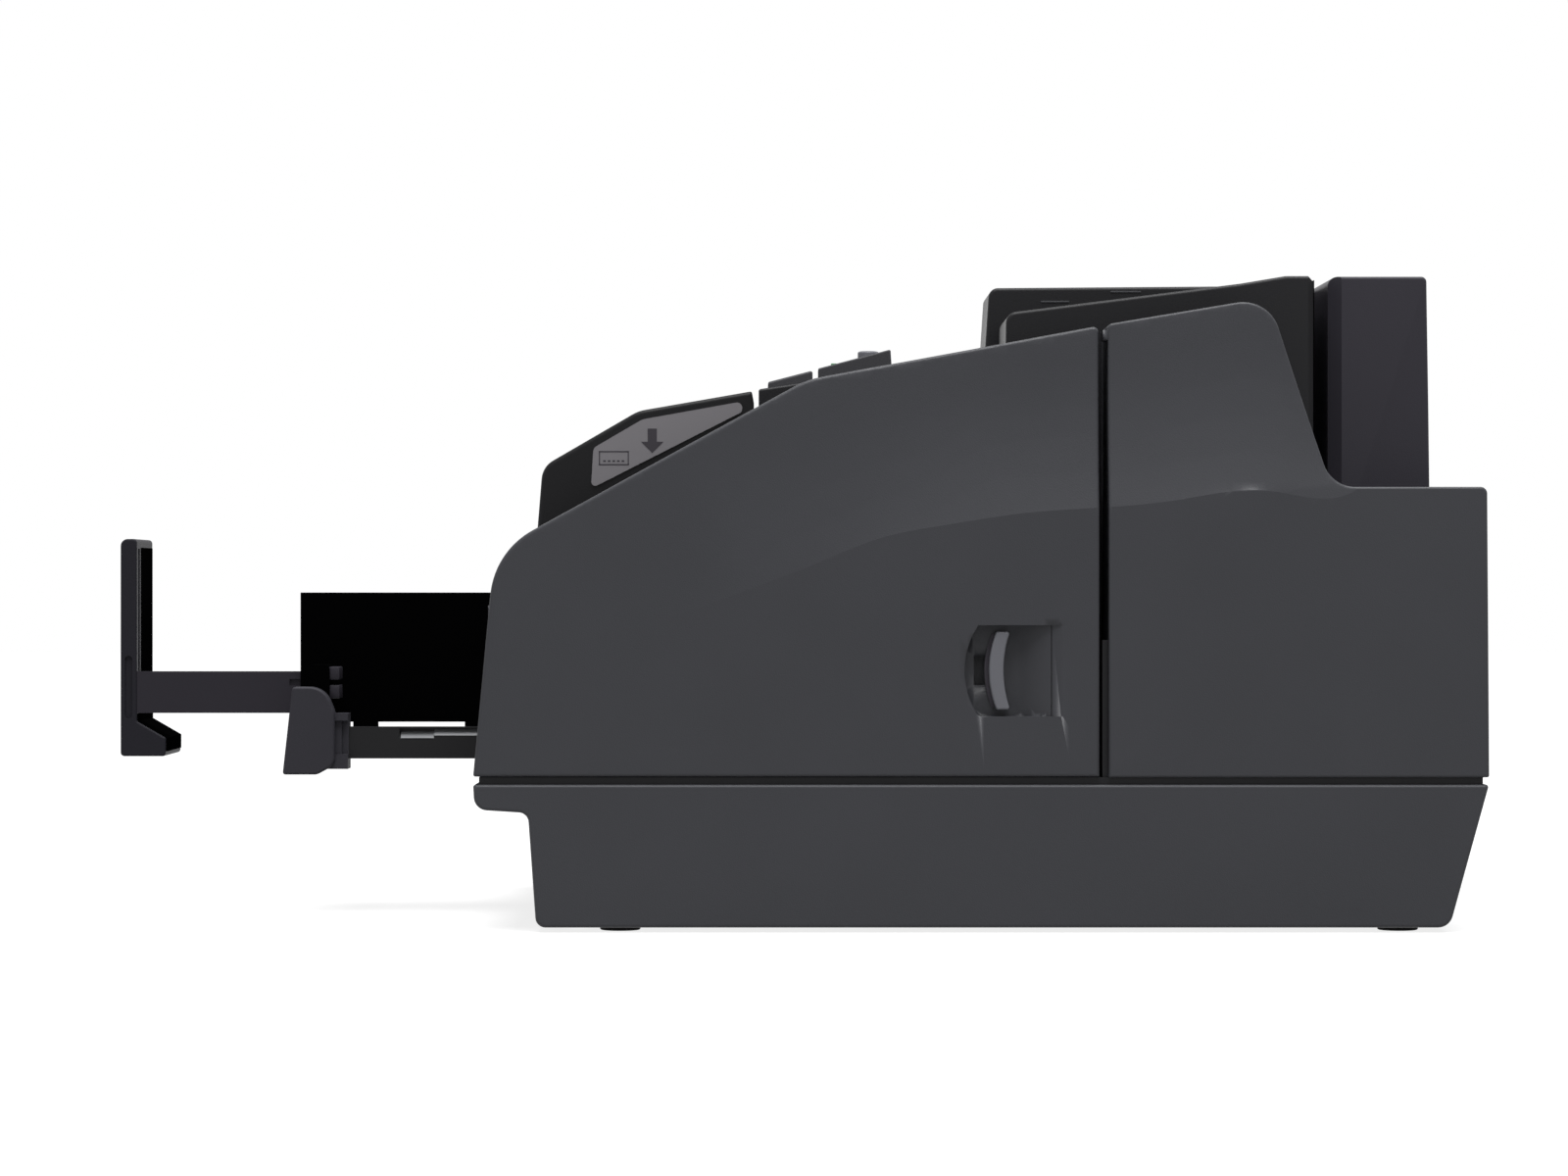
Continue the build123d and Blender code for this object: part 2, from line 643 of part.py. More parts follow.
with BuildPart() as pusher_plate:
    rod(pusher_x, at(pusher_station), (pusher_low, pusher_high), 1.9)
    rod(pusher_x, at(pusher_station), (pusher_low - 4, pusher_high + 4), 1.2)
    span((pusher_x - 1.9, pusher_x), (at(pusher_station), at(pusher_station + pusher_length)),
         (pusher_low, pusher_high))
    with Locations((pusher_x - 0.9, at(pusher_station + pusher_length - 1), 93)):
        Box(1.8, 1.0, 20)

with BuildPart() as front_image_sensor:
    span((lane_right + 1.4, lane_right + 11), (at(front_sensor_station) - sensor_half,
         at(front_sensor_station) + sensor_half), (sensor_low + fit, sensor_high))
with BuildPart() as front_sensor_glass:
    span((lane_right + 0.1, lane_right + 1.4), (at(front_sensor_station) - sensor_half,
         at(front_sensor_station) + sensor_half), (sensor_low + fit, guide_height))
with BuildPart() as micr_pressure_pad:
    span((lane_right - 0.2, lane_right + guide_thickness), (at(micr_station) - micr_half + seat,
         at(micr_station) + micr_half - seat), (64 + seat, 74 - seat))
    span((lane_right + guide_thickness + seat, lane_right + guide_thickness + 2.5),
         (at(micr_station) - 5, at(micr_station) + 5), (62.5, 75.5))
    span((lane_right + guide_thickness, lane_right + guide_thickness + 1),
         (at(micr_station) - 2, at(micr_station) + 2), (66, 72))

# ================================================================ fixed right rear cover
fixed_back = lane_right + guide_thickness + 0.5
with BuildPart() as right_rear_cover:
    extrude(side_profile(fixed_back, fixed_corners), amount=right - fixed_back)
    add(scoop.part, mode=Mode.SUBTRACT)
    soften_outside(right_rear_cover, edge_round - 0.2)
    hollow_cover(fixed_corners, fixed_back)
    span((right - 14, right - 5), (fixed_start - 1.4, fixed_start + 1),
         (top_line(cover_end) - 4.2, top_line(cover_end) - 1.2))

with BuildPart() as latch_keeper:
    span((right - 10.6, right - 3), (fixed_start - 1.7, fixed_start), (deck_top, lever_z + 9))

# ================================================================ outer guide of the fixed lane
outer_route = [(lane_right + guide_mid, fixed_start + 0.6),
               (lane_right + guide_mid, slot_rear + guide_mid),
               (back_left - guide_mid, slot_rear + guide_mid),
               (back_left - guide_mid, at(152))]
nozzle_station = 188.5
with BuildPart() as outer_guide:
    with BuildSketch(Plane.XY.offset(deck_top)):
        with BuildLine():
            FilletPolyline(*outer_route, radius=turn_radius)
        trace(line_width=guide_thickness)
    extrude(amount=guide_height - deck_top)
    for name in ("pinch_roller_2", "pinch_roller_3", "pinch_roller_4"):
        x, station, radius = pinch_spots[name]
        roller_window(x, station, radius)
    roller_ears("pinch_roller_2", lane_right + 0.6, 1)
    roller_ears("pinch_roller_3", back_left - 0.6, -1)
    roller_ears("pinch_roller_4", back_left - 0.6, -1)
    span((back_left - 3, back_left + 1), (at(nozzle_station) - 6, at(nozzle_station) + 6),
         (98, 110), mode=Mode.SUBTRACT)

# ================================================================ island: hopper wall
notch_station = 81.7
island_left = island_face - island_width
casing_start = 83.6
casing_height = 161.6
casing_angle = 8.6
hopper_wall_corners = [
    (at(10.4), deck_top, 0.0), (at(17.9), 138.1, 7.0), (at(47.0), 155.0, 12.0),
    (at(notch_station - 0.2), 161.0, 0.6), (at(notch_station + 0.4), 157.8, 0.0),
    (at(notch_station + 0.4), deck_top, 0.0)]


def room(corners, x, width):
    """Inside of a casing with this side view, open at the bottom."""
    low = min(v for _, v, _ in corners)
    deeper = [(u, v - wall - 1 if v < low + 1 else v, r) for u, v, r in corners]
    return extrude(side_profile(x + wall, deeper, inset=wall), amount=width - 2 * wall,
                   mode=Mode.PRIVATE)


with BuildPart() as hopper_wall:
    extrude(side_profile(island_left, hopper_wall_corners), amount=island_width)
    rims = [e for e in hopper_wall.faces().sort_by(Axis.X)[-1].edges()
            + hopper_wall.faces().sort_by(Axis.X)[0].edges() if e.center().Z > deck_top + 1
            and e.center().Y < at(notch_station - 1)]
    fillet(rims, 1.2)
    add(room(hopper_wall_corners, island_left, island_width), mode=Mode.SUBTRACT)

with BuildPart() as label_plate:
    label_corners = [(at(32.7), 131.4, 1.2), (at(33.4), 143.7, 2.0), (at(48.3), 152.4, 5.0),
                     (at(79.0), 157.9, 1.6), (at(78.4), 154.6, 1.0)]
    extrude(side_profile(island_face, label_corners), amount=0.5)

# ================================================================ island: centre casing
def casing_top(y):
    """Height of the centre casing's sloping top."""
    return casing_height + (y - at(casing_start)) * tan(radians(casing_angle))


casing_end = at(155.7)
casing_plan = [
    (island_left, at(casing_start), 0), (island_face, at(casing_start), 0),
    (island_face, at(hopper_end_station), bend), (lane_left, at(lane_start_station), bend),
    (lane_left, casing_end, 0), (back_right, casing_end, 0), (back_right + 2.2, at(149), 3),
    (island_left, at(116), 8)]


def casing_body(inset, low):
    """Plan of the centre casing raised to its sloping top."""
    roof = [(front, low - 5, 0), (rear, low - 5, 0), (rear, casing_top(rear) - inset, 0),
            (front, casing_top(front) - inset, 0)]
    with BuildPart() as body:
        extrude(plan(low, casing_plan, inset=inset), amount=block_top - low)
        extrude(side_profile(left, roof), amount=body_width, mode=Mode.INTERSECT)
    return body.part


key_y = (at(86.0), at(100.6))
key_x = (island_left + 1.8, island_face - 2.2)
panel_y = (at(101.7), at(124.1))
power_y = at(117.0)
micr_block = (island_face - 1, lane_left + 0.15)
with BuildPart() as centre_casing:
    add(casing_body(0.0, deck_top))
    fillet(centre_casing.faces().sort_by(Axis.Z)[-1].edges(), 0.8)
    add(casing_body(wall, deck_top - 1), mode=Mode.SUBTRACT)
    # bearing plate for the pickup and feed shafts
    with BuildPart(mode=Mode.PRIVATE) as web:
        add(casing_body(wall - 0.5, web_low))
        span((left, right), (front, rear), (web_high, block_top), mode=Mode.SUBTRACT)
        for name in ("pickup_roller", "feed_roller"):
            x, station, _ = drive_spots[name]
            rod(x, at(station), (web_low, web_high), shaft_radius + 0.3, mode=Mode.SUBTRACT)
    add(web.part)
    for name in ("pickup_roller", "feed_roller"):
        x, station, radius = drive_spots[name]
        roller_window(x + 2, station, radius)
    span((island_face - 4, lane_left + 1), (at(micr_station) - micr_half - 0.6,
         at(micr_station) + micr_half + 0.6), (floor_height + 0.8, 76.2), mode=Mode.SUBTRACT)
    span((key_x[0] - fit, key_x[1] + fit), (key_y[0] - fit, key_y[1] + fit),
         (web_high + 5, block_top), mode=Mode.SUBTRACT)
    rod((key_x[0] + key_x[1]) / 2, power_y, (web_high + 5, block_top), 3.5, mode=Mode.SUBTRACT)

with BuildPart() as micr_head:
    span(micr_block, (at(micr_station) - micr_half, at(micr_station) + micr_half),
         (floor_height + 1.2, 75.8))
    span((island_face - 1, lane_left - wall - 0.3), (at(micr_station) - micr_half,
         at(micr_station) + micr_half), (deck_top, floor_height + 1.2))
    fillet(micr_head.faces().sort_by(Axis.X)[-1].edges().filter_by(Axis.Z), 0.8)

panel_low_front = casing_height + 6.4
panel_high_rear = casing_height + 12.2
with BuildPart() as indicator_panel:
    with BuildSketch(Plane.YZ.offset(key_x[0])):
        with BuildLine():
            Polyline((panel_y[0], casing_top(panel_y[0])), (panel_y[1], casing_top(panel_y[1])),
                     (panel_y[1] - 0.4, panel_high_rear), (panel_y[0], panel_low_front),
                     close=True)
        make_face()
    extrude(amount=key_x[1] - key_x[0])
    fillet(indicator_panel.faces().sort_by(Axis.Z)[-1].edges(), 0.5)
    button_x = (key_x[0] + key_x[1]) / 2
    rod(button_x, power_y, (casing_height, block_top), 3.5, mode=Mode.SUBTRACT)
    for x in (button_x - 3, button_x, button_x + 3):
        rod(x, at(106.5), (casing_height + 5.5, block_top), 0.95, mode=Mode.SUBTRACT)

with BuildPart() as status_lenses:
    for x in (button_x - 3, button_x, button_x + 3):
        rod(x, at(106.5), (casing_height + 5.5, panel_low_front + 1.6), 0.9)

with BuildPart() as power_button:
    rod(button_x, power_y, (web_high + 6, panel_high_rear - 0.4), 3.2)
    rod(button_x, power_y, (web_high + 6, web_high + 8), 4.6)
    fillet(power_button.faces().sort_by(Axis.Z)[-1].edges(), 0.6)

with BuildPart() as eject_key:
    with BuildSketch(Plane.YZ.offset(key_x[0])):
        with BuildLine():
            Polyline((key_y[0], casing_height - 4), (key_y[1] - 0.6, casing_height - 4),
                     (key_y[1] - 0.6, casing_height + 5.8),
                     (key_y[0] + 0.5, casing_height + 2.3), close=True)
        make_face()
    extrude(amount=key_x[1] - key_x[0])
    fillet(eject_key.faces().sort_by(Axis.Z)[-1].edges(), 0.7)

with BuildPart() as key_switches:
    for y, top in ((key_y[0] + 3, casing_height - 5.3), (power_y, web_high + 4.5)):
        span((button_x - 3, button_x + 3), (y - 3, y + 3), (web_high, top - 0.5))
        rod(button_x, y, (top - 0.5, top), 1.4)

# ================================================================ centre block
block_width = lane_left - back_right
block_corners = [
    (at(156.1), deck_top, 0.0), (at(158.4), 184.3, 3.5), (at(229.2), 193.2, 20.0),
    (at(242.9), block_top, 8.0), (slot_front, block_top, 0.0), (slot_front, deck_top, 0.0)]
rear_sensor_station = 197.0
inner_turn = turn_radius - guide_mid - lane_width


def block_plan(inset):
    """Plan of the centre block with the rounded corners of the inner turn."""
    corners = [(back_right, front, 0), (lane_left, front, 0),
               (lane_left, slot_front, inner_turn), (back_right, slot_front, inner_turn)]
    return plan(0, corners, inset)


with BuildPart() as centre_block:
    extrude(side_profile(back_right, block_corners), amount=block_width)
    chamfer(centre_block.faces().sort_by(Axis.Y)[-1].edges().filter_by(Axis.Z), 1.7)
    chamfer(centre_block.faces().sort_by(Axis.Y)[-1].edges().sort_by(Axis.Z)[-1], 1.7)
    rims = [e for e in centre_block.edges() if not e.is_interior and e.center().Z > 150
            and abs(e.center().X - (back_right + block_width / 2)) > block_width / 2 - 0.1
            and e.center().Y < at(240)]
    fillet(rims, 1.0)
    # the lane turns round the lower part of the block
    with BuildPart(mode=Mode.PRIVATE) as turned:
        span((left, right), (at(200), rear), (deck_top - 1, guide_height + 1))
        extrude(block_plan(0.0), amount=block_top, mode=Mode.SUBTRACT)
    add(turned.part, mode=Mode.SUBTRACT)
    with BuildPart(mode=Mode.PRIVATE) as inside:
        add(room(block_corners, back_right, block_width))
        extrude(block_plan(wall), amount=block_top, mode=Mode.INTERSECT)
    add(inside.part, mode=Mode.SUBTRACT)
    with BuildPart(mode=Mode.PRIVATE) as web:
        extrude(block_plan(wall - 0.5), amount=block_top)
        span((left, right), (at(157.8), rear), (web_low, web_high), mode=Mode.INTERSECT)
    add(web.part)
    for name in ("drive_roller_1", "drive_roller_2", "drive_roller_3", "drive_roller_4"):
        x, station, radius = drive_spots[name]
        rod(x, at(station), (web_low, web_high), shaft_radius + 0.3, mode=Mode.SUBTRACT)
        roller_window(x, station, radius)
    span((lane_left - 4, lane_left + 1), (at(rear_sensor_station) - sensor_half - seat,
         at(rear_sensor_station) + sensor_half + seat), (sensor_low, sensor_high + seat),
         mode=Mode.SUBTRACT)

with BuildPart() as rear_image_sensor:
    span((lane_left - 11, lane_left - 1.4), (at(rear_sensor_station) - sensor_half,
         at(rear_sensor_station) + sensor_half), (sensor_low + fit, sensor_high))
    span((lane_left - 11, lane_left - 6), (at(rear_sensor_station) - 3,
         at(rear_sensor_station) + 3), (sensor_high, web_low))
with BuildPart() as rear_sensor_glass:
    span((lane_left - 1.4, lane_left - 0.1), (at(rear_sensor_station) - sensor_half,
         at(rear_sensor_station) + sensor_half), (sensor_low + fit, sensor_high))

# ================================================================ rear block and rear cover
rear_block_right = feed_lane_x - 6.0
rear_block_left = left + 7.0
rear_block_end = rear - 11.4
rear_block_corners = [
    (slot_rear - 0.5, shelf_height, 0.0), (slot_rear - 0.5, block_top, 2.6),
    (rear_block_end - 1.0, block_top, 1.6), (rear_block_end, shelf_height, 0.0)]
slot_chamfer = 3.8
rear_block_plan = [
    (rear_block_left, slot_rear - 0.5, 0), (rear_block_right - slot_chamfer, slot_rear - 0.5, 0),
    (rear_block_right, slot_rear - 0.5 + slot_chamfer, 0), (rear_block_right, rear, 0),
    (rear_block_left, rear, 0)]
with BuildPart() as rear_block:
    extrude(side_profile(rear_block_left, rear_block_corners),
            amount=rear_block_right - rear_block_left)
    extrude(plan(shelf_height, rear_block_plan), amount=block_top - shelf_height,
            mode=Mode.INTERSECT)
    fillet([e for e in rear_block.faces().sort_by(Axis.X)[-1].edges()
            if e.center().Z > shelf_height + 40 and e.center().Y > slot_rear + 5], 0.9)
    # the near end falls away behind a diagonal
    facet = Plane(origin=(rear_block_right, slot_rear + 8.4, shelf_height),
                  x_dir=(0, 19.2, 60.0), z_dir=(1, 0.07, -0.0224))
    split(bisect_by=facet, keep=Keep.BOTTOM)
    # the far wall of the rear lane
    span((rear_block_left, back_left - 1.2), (slot_front + 0.8, slot_rear + 4),
         (shelf_height, block_top - 0.6))
    add(room(rear_block_corners, rear_block_left, rear_block_right - rear_block_left - 4),
        mode=Mode.SUBTRACT)

rear_cover_start = slot_rear + guide_thickness + 0.6
rear_cover_corners = [
    (rear_cover_start, deck_top, 0.0), (rear_cover_start, shelf_height, 0.0),
    (rear - 0.6, shelf_height, 2.0), (rear, deck_top, 0.0)]
with BuildPart() as rear_cover:
    extrude(side_profile(left, rear_cover_corners), amount=fixed_back - seat - left)
    fillet([e for e in rear_cover.faces().sort_by(Axis.X)[0].edges()
            if e.center().Z > deck_top + 1 and e.center().Y > rear_cover_start + 1], edge_round)
    add(room(rear_cover_corners, left, fixed_back - seat - left), mode=Mode.SUBTRACT)

# ================================================================ left casing and cartridge lid
lid_low = 150.3
platform = lid_low - fit
casing_left_end = rear_cover_start - seat
left_right_face = back_left - guide_thickness - 0.25
lid_front = 152.6
left_corners = [
    (at(11.3), deck_top, 0.0), (at(16.5), 117.0, 12.0), (at(46.0), 143.0, 20.0),
    (at(100.0), platform, 10.0), (slot_front + 0.5, platform, 0.0),
    (slot_front + 0.5, shelf_height - seat, 0.0), (casing_left_end, shelf_height - seat, 0.0),
    (casing_left_end, deck_top, 0.0)]
lid_width = 42.0
lid_left = back_left - lid_width
lid_hinge_drop = 5.5
lid_axis_x = lid_left + lid_hinge_drop
lid_axis_z = lid_low + lid_hinge_drop
cartridge_x = (lid_left + 14.0, left_right_face - 2.4)
lug_stations = (172.0, 230.0)
lug_length = 5.0
with BuildPart() as left_casing:
    extrude(side_profile(left, left_corners), amount=left_right_face - left)
    fillet([e for e in left_casing.faces().sort_by(Axis.X)[0].edges()
            if e.center().Z > deck_top + 1 and e.center().Y < slot_front], edge_round)
    with BuildPart(mode=Mode.PRIVATE) as inside:
        extrude(side_profile(left + wall, left_corners, inset=wall),
                amount=left_right_face - left)
        span((pocket_left - wall - 1.6, right), (front, at(151) + wall), (0, block_top),
             mode=Mode.SUBTRACT)
        span((left + wall, pocket_left - wall - 1.6), (at(15), at(200)),
             (deck_top - 1, deck_top + 4))
        span((left + wall, left_right_face + 1), (at(151) + wall, casing_left_end - wall),
             (deck_top - 1, platform - wall))
    add(inside.part, mode=Mode.SUBTRACT)
    # the long pocket is open at the front and at the top
    span((pocket_left - 1.6, left_right_face + 1), (front - 1, at(151)),
         (deck_top - 1, block_top), mode=Mode.SUBTRACT)
    # well for the ink cartridge
    span((cartridge_x[0] - fit, left_right_face + 1), (at(nozzle_station - 10) - fit,
         at(nozzle_station + 10) + fit), (platform - 10, platform + 1), mode=Mode.SUBTRACT)
    for station in lug_stations:
        span((lid_axis_x - 2.2, lid_axis_x + 2.2), (at(station), at(station) + lug_length),
             (platform, lid_axis_z))
        with Locations(Plane((lid_axis_x, at(station) + lug_length / 2, lid_axis_z),
                             z_dir=(0, 1, 0))):
            Cylinder(2.5, lug_length)
            Cylinder(1.52, lug_length, mode=Mode.SUBTRACT)

lid_corners = [
    (at(lid_front), lid_low, 0.0), (at(lid_front + 2.9), 195.1, 3.0),
    (slot_front - 0.2, block_top + 0.3, 2.0), (slot_front - 0.2, lid_low, 0.0)]
with BuildPart() as cartridge_cover:
    extrude(side_profile(lid_left, lid_corners), amount=lid_width)
    fillet([e for e in cartridge_cover.faces().sort_by(Axis.X)[-1].edges()
            + cartridge_cover.faces().sort_by(Axis.X)[0].edges()
            if e.center().Z > lid_low + 1], 1.0)
    fillet(cartridge_cover.edges().filter_by(Axis.Y).group_by(Axis.Z)[0].sort_by(Axis.X)[0],
           lid_hinge_drop - 0.1)
    add(room(lid_corners, lid_left, lid_width), mode=Mode.SUBTRACT)
    for station in lug_stations:
        y = at(station) + lug_length
        with Locations(Plane((lid_axis_x, y + fit + 4, lid_axis_z), z_dir=(0, 1, 0))):
            Cylinder(3.2, 8.0)
        span((lid_left + 1, lid_axis_x), (y + fit, y + fit + 8),
             (lid_axis_z, lid_axis_z + 2.4))
        with Locations(Plane((lid_axis_x, y + fit + 4, lid_axis_z), z_dir=(0, 1, 0))):
            Cylinder(1.5 + running, 8.0, mode=Mode.SUBTRACT)
        span((lid_left - 1, lid_axis_x + 3.4), (at(station) - 0.4, y + 0.3),
             (lid_low - 1, lid_axis_z + 6), mode=Mode.SUBTRACT)

with BuildPart() as lid_hinge_pins:
    for station in lug_stations:
        with Locations(Plane((lid_axis_x, at(station) + lug_length, lid_axis_z),
                             z_dir=(0, 1, 0))):
            Cylinder(1.5, 2 * lug_length)

with BuildPart() as ink_cartridge:
    span(cartridge_x, (at(nozzle_station - 10), at(nozzle_station + 10)), (95, platform))
    span((cartridge_x[0] - 3, cartridge_x[1]), (at(nozzle_station - 13), at(nozzle_station + 13)),
         (platform, platform + 2.4))
    span((cartridge_x[0] + 4, cartridge_x[0] + 18),
         (at(nozzle_station) - 1.5, at(nozzle_station) + 1.5),
         (platform + 2.4, platform + 14))
    span((cartridge_x[1] - 1, left_right_face + 1.2), (at(nozzle_station) - 4,
         at(nozzle_station) + 4), (99, 109))
    fillet(ink_cartridge.edges().filter_by(Axis.Z).group_by(Axis.X)[0], 1.5)

# ================================================================ pockets
divider_left = divider_right - divider_width
tray_front = front - tray_reach
arm_left = divider_left + 1.4
sleeve_end = tray_front + 138.0
divider_end = at(121.0)
with BuildPart() as pocket_tray:
    span((pocket_left - 1.5, divider_right), (tray_front, divider_end), (tray_low, floor_height))
    span((divider_left, divider_right), (tray_front, divider_end), (floor_height, divider_top))
    fillet([e for e in pocket_tray.edges().filter_by(Axis.Y).group_by(Axis.Z)[-1]], 0.6)
    span((pocket_left - 1.5, pocket_left), (tray_front, divider_end), (floor_height, 72))
    span((arm_left - fit, arm_left + arm_thickness + fit), (tray_front - 1, sleeve_end),
         (long_arm_low - fit, long_arm_high + fit), mode=Mode.SUBTRACT)
    span((gate_x - 3.2, divider_right), (divider_end - 1, gate_y + 5), (tray_low, floor_height))
    rod(gate_x, gate_y, (tray_low, floor_height), 1.5 + running, mode=Mode.SUBTRACT)
    for station in (-43.0, -8.2):
        span((divider_left, divider_right), (at(station), at(station) + 7.5),
             (tray_low - 1.6, tray_low))

stopper_front = front - stopper_reach
stopper_back = stopper_front + stopper_thickness
foot_tip = stopper_back + 9.0
with BuildPart() as main_stopper:
    stopper_left = stopper_right - stopper_width
    with BuildSketch(Plane.YZ.offset(stopper_left)):
        with BuildLine():
            FilletPolyline(
                (stopper_front, stopper_bottom), (stopper_front, stopper_top),
                (stopper_back, stopper_top), (stopper_back, 59.6), (foot_tip, 54.4),
                (foot_tip, stopper_bottom), radius=[1.2, 2.2, 1.2, 1.0, 0.8, 1.0], close=True)
        make_face()
    extrude(amount=stopper_width)
    fillet(main_stopper.faces().sort_by(Axis.X)[-1].edges(), 0.6)
    span((stopper_right - 7, stopper_right - 3.2), (stopper_back - 1.4, stopper_back + 1),
         (62, stopper_top - 3), mode=Mode.SUBTRACT)
    span((stopper_left + 3, stopper_right - 9.5), (stopper_back - 1.4, stopper_back + 1),
         (62, stopper_top - 3), mode=Mode.SUBTRACT)
    with BuildSketch(Plane.YZ.offset(stopper_right - 0.8)):
        with Locations((stopper_front + 2.5, 70.3)):
            SlotOverall(19.5, 2.3, rotation=90)
    extrude(amount=2, mode=Mode.SUBTRACT)

with BuildPart() as main_stopper_arm:
    arm_start = stopper_back - 1.2
    span((arm_left, arm_left + arm_thickness), (stopper_back, arm_start + long_arm_length),
         (long_arm_low, long_arm_high))
    span((arm_left + 1.2, arm_left + arm_thickness + 1), (tray_front - 3.6, tray_front - 0.2),
         (70.8, 72.8), mode=Mode.SUBTRACT)
    chamfer(main_stopper_arm.edges().filter_by(Axis.X).group_by(Axis.Y)[-1], 1.0)

short_stop = front - 62.9
with BuildPart() as sub_stopper:
    cheek_low = 43.8
    cheek_x = arm_x + 3.2
    with BuildSketch(Plane.YZ.offset(cheek_x)):
        with BuildLine():
            FilletPolyline(
                (short_stop, cheek_low), (short_stop + 3.0, 70.8), (short_stop + 13.0, 70.8),
                (short_stop + 16.1, 63.0), (short_stop + 16.1, cheek_low + 3),
                (short_stop + 10.6, cheek_low), radius=[0.8, 1.2, 7.0, 5.0, 3.5, 3.0],
                close=True)
        make_face()
    extrude(amount=4.2)
    fillet(sub_stopper.faces().sort_by(Axis.X)[-1].edges(), 0.8)
    span((arm_x - 10, cheek_x), (short_stop + 4, short_stop + 7), (46.0, 69.0))
    clamp_face = arm_x + 5.6
    clamp_end = short_stop + 20.0
    span((arm_x - 4, clamp_face), (short_stop + 7, clamp_end), (45.5, 62.6))
    # the clamp is waisted between its two jaws
    span((clamp_face - 1.4, clamp_face + 1), (short_stop + 7, clamp_end + 1), (50.0, 60.4),
         mode=Mode.SUBTRACT)
    span((arm_x + 2.6, clamp_face + 1), (clamp_end - 2.0, clamp_end + 1), (50.0, 60.4),
         mode=Mode.SUBTRACT)

with BuildPart() as sub_stopper_pad:
    pad_y = short_stop + 7.0
    span((arm_x - 10, arm_x + 2.8), (pad_y, pad_y + 7.1), (62.8, 77.5))
    fillet(sub_stopper_pad.faces().sort_by(Axis.Z)[-1].edges().filter_by(Axis.X), 1.4)
    for low, high in ((67.3, 71.1), (73.0, 76.7)):
        span((arm_x - 8, arm_x + 2), (pad_y + 7.1, pad_y + 10.0), (low, high))

with BuildPart() as sub_stopper_arm:
    span((arm_x - arm_width / 2, arm_x + arm_width / 2), (short_stop + 20, at(30)),
         (short_arm_low, short_arm_high))
    # scale channel in the near face, with a sloping lower side that catches the light
    arm_face = arm_x + arm_width / 2
    for start, end, low in ((front - 27.3, front - 16.7, 54.8), (front - 16.7, front + 2, 55.6)):
        with BuildSketch(Plane.XZ.offset(-start)):
            with BuildLine():
                Polyline((arm_face + 1, low - 1.1), (arm_face, low), (arm_face - 1.9, low + 2.0),
                         (arm_face - 1.9, 57.9), (arm_face + 1, 57.9), close=True)
            make_face()
        extrude(amount=-(end - start), mode=Mode.SUBTRACT)

with BuildPart() as diverter_gate:
    with BuildSketch(Plane.XY.offset(floor_height + fit)):
        with BuildLine():
            Polyline((gate_x - 1.5, gate_y), (gate_x + 1.5, gate_y),
                     (back_right - 0.3, at(148.4)), (back_right - 1.1, at(148.4)), close=True)
        make_face()
        with Locations((gate_x, gate_y)):
            Circle(2.2)
    extrude(amount=divider_top - floor_height - fit)
    rod(gate_x, gate_y, (tray_low + 0.2, divider_top), 1.5)

# ================================================================ pieces
pieces = {
    "base_shell": base_shell, "rubber_feet": rubber_feet, "base_screws": base_screws,
    "chassis_deck": chassis_deck, "shaft_bushes": shaft_bushes, "motor": motor,
    "motor_pulley": motor_pulley, "drive_belt": drive_belt, "main_board": main_board,
    "dc_inlet": dc_inlet, "usb_port": usb_port, "scanner_cover": scanner_cover,
    "cover_hinge_shaft": cover_hinge_shaft, "latch_lever": latch_lever, "latch_plate": latch_plate,
    "latch_slider": latch_slider, "latch_keeper": latch_keeper,
    "scanner_inner_guide": scanner_inner_guide, "pusher_plate": pusher_plate,
    "front_image_sensor": front_image_sensor, "front_sensor_glass": front_sensor_glass,
    "micr_pressure_pad": micr_pressure_pad, "right_rear_cover": right_rear_cover,
    "outer_guide": outer_guide, "hopper_wall": hopper_wall, "label_plate": label_plate,
    "centre_casing": centre_casing, "micr_head": micr_head,
    "indicator_panel": indicator_panel, "status_lenses": status_lenses,
    "power_button": power_button, "eject_key": eject_key, "key_switches": key_switches,
    "centre_block": centre_block, "rear_image_sensor": rear_image_sensor,
    "rear_sensor_glass": rear_sensor_glass, "rear_block": rear_block,
    "rear_cover": rear_cover, "left_casing": left_casing, "cartridge_cover": cartridge_cover,
    "lid_hinge_pins": lid_hinge_pins, "ink_cartridge": ink_cartridge,
    "pocket_tray": pocket_tray, "main_stopper": main_stopper,
    "main_stopper_arm": main_stopper_arm, "sub_stopper": sub_stopper,
    "sub_stopper_pad": sub_stopper_pad, "sub_stopper_arm": sub_stopper_arm,
    "diverter_gate": diverter_gate, **driven, **idle}
for name, piece in pieces.items():
    piece.part.label = name
    export_step(piece.part, f"parts/{name}.step")
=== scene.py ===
# %% [markdown]
# # A desktop cheque scanner
# This lesson dresses an engineering model of a cheque scanner so that it looks like the real
# thing: dark moulded plastic with a fine spark-eroded grain, a black pocket tray, rubber rollers
# and a few small printed and moulded details. The solids come from the frame and stay where they
# are. Most of them only need a finish; the rollers and two covers get richer pieces instead.

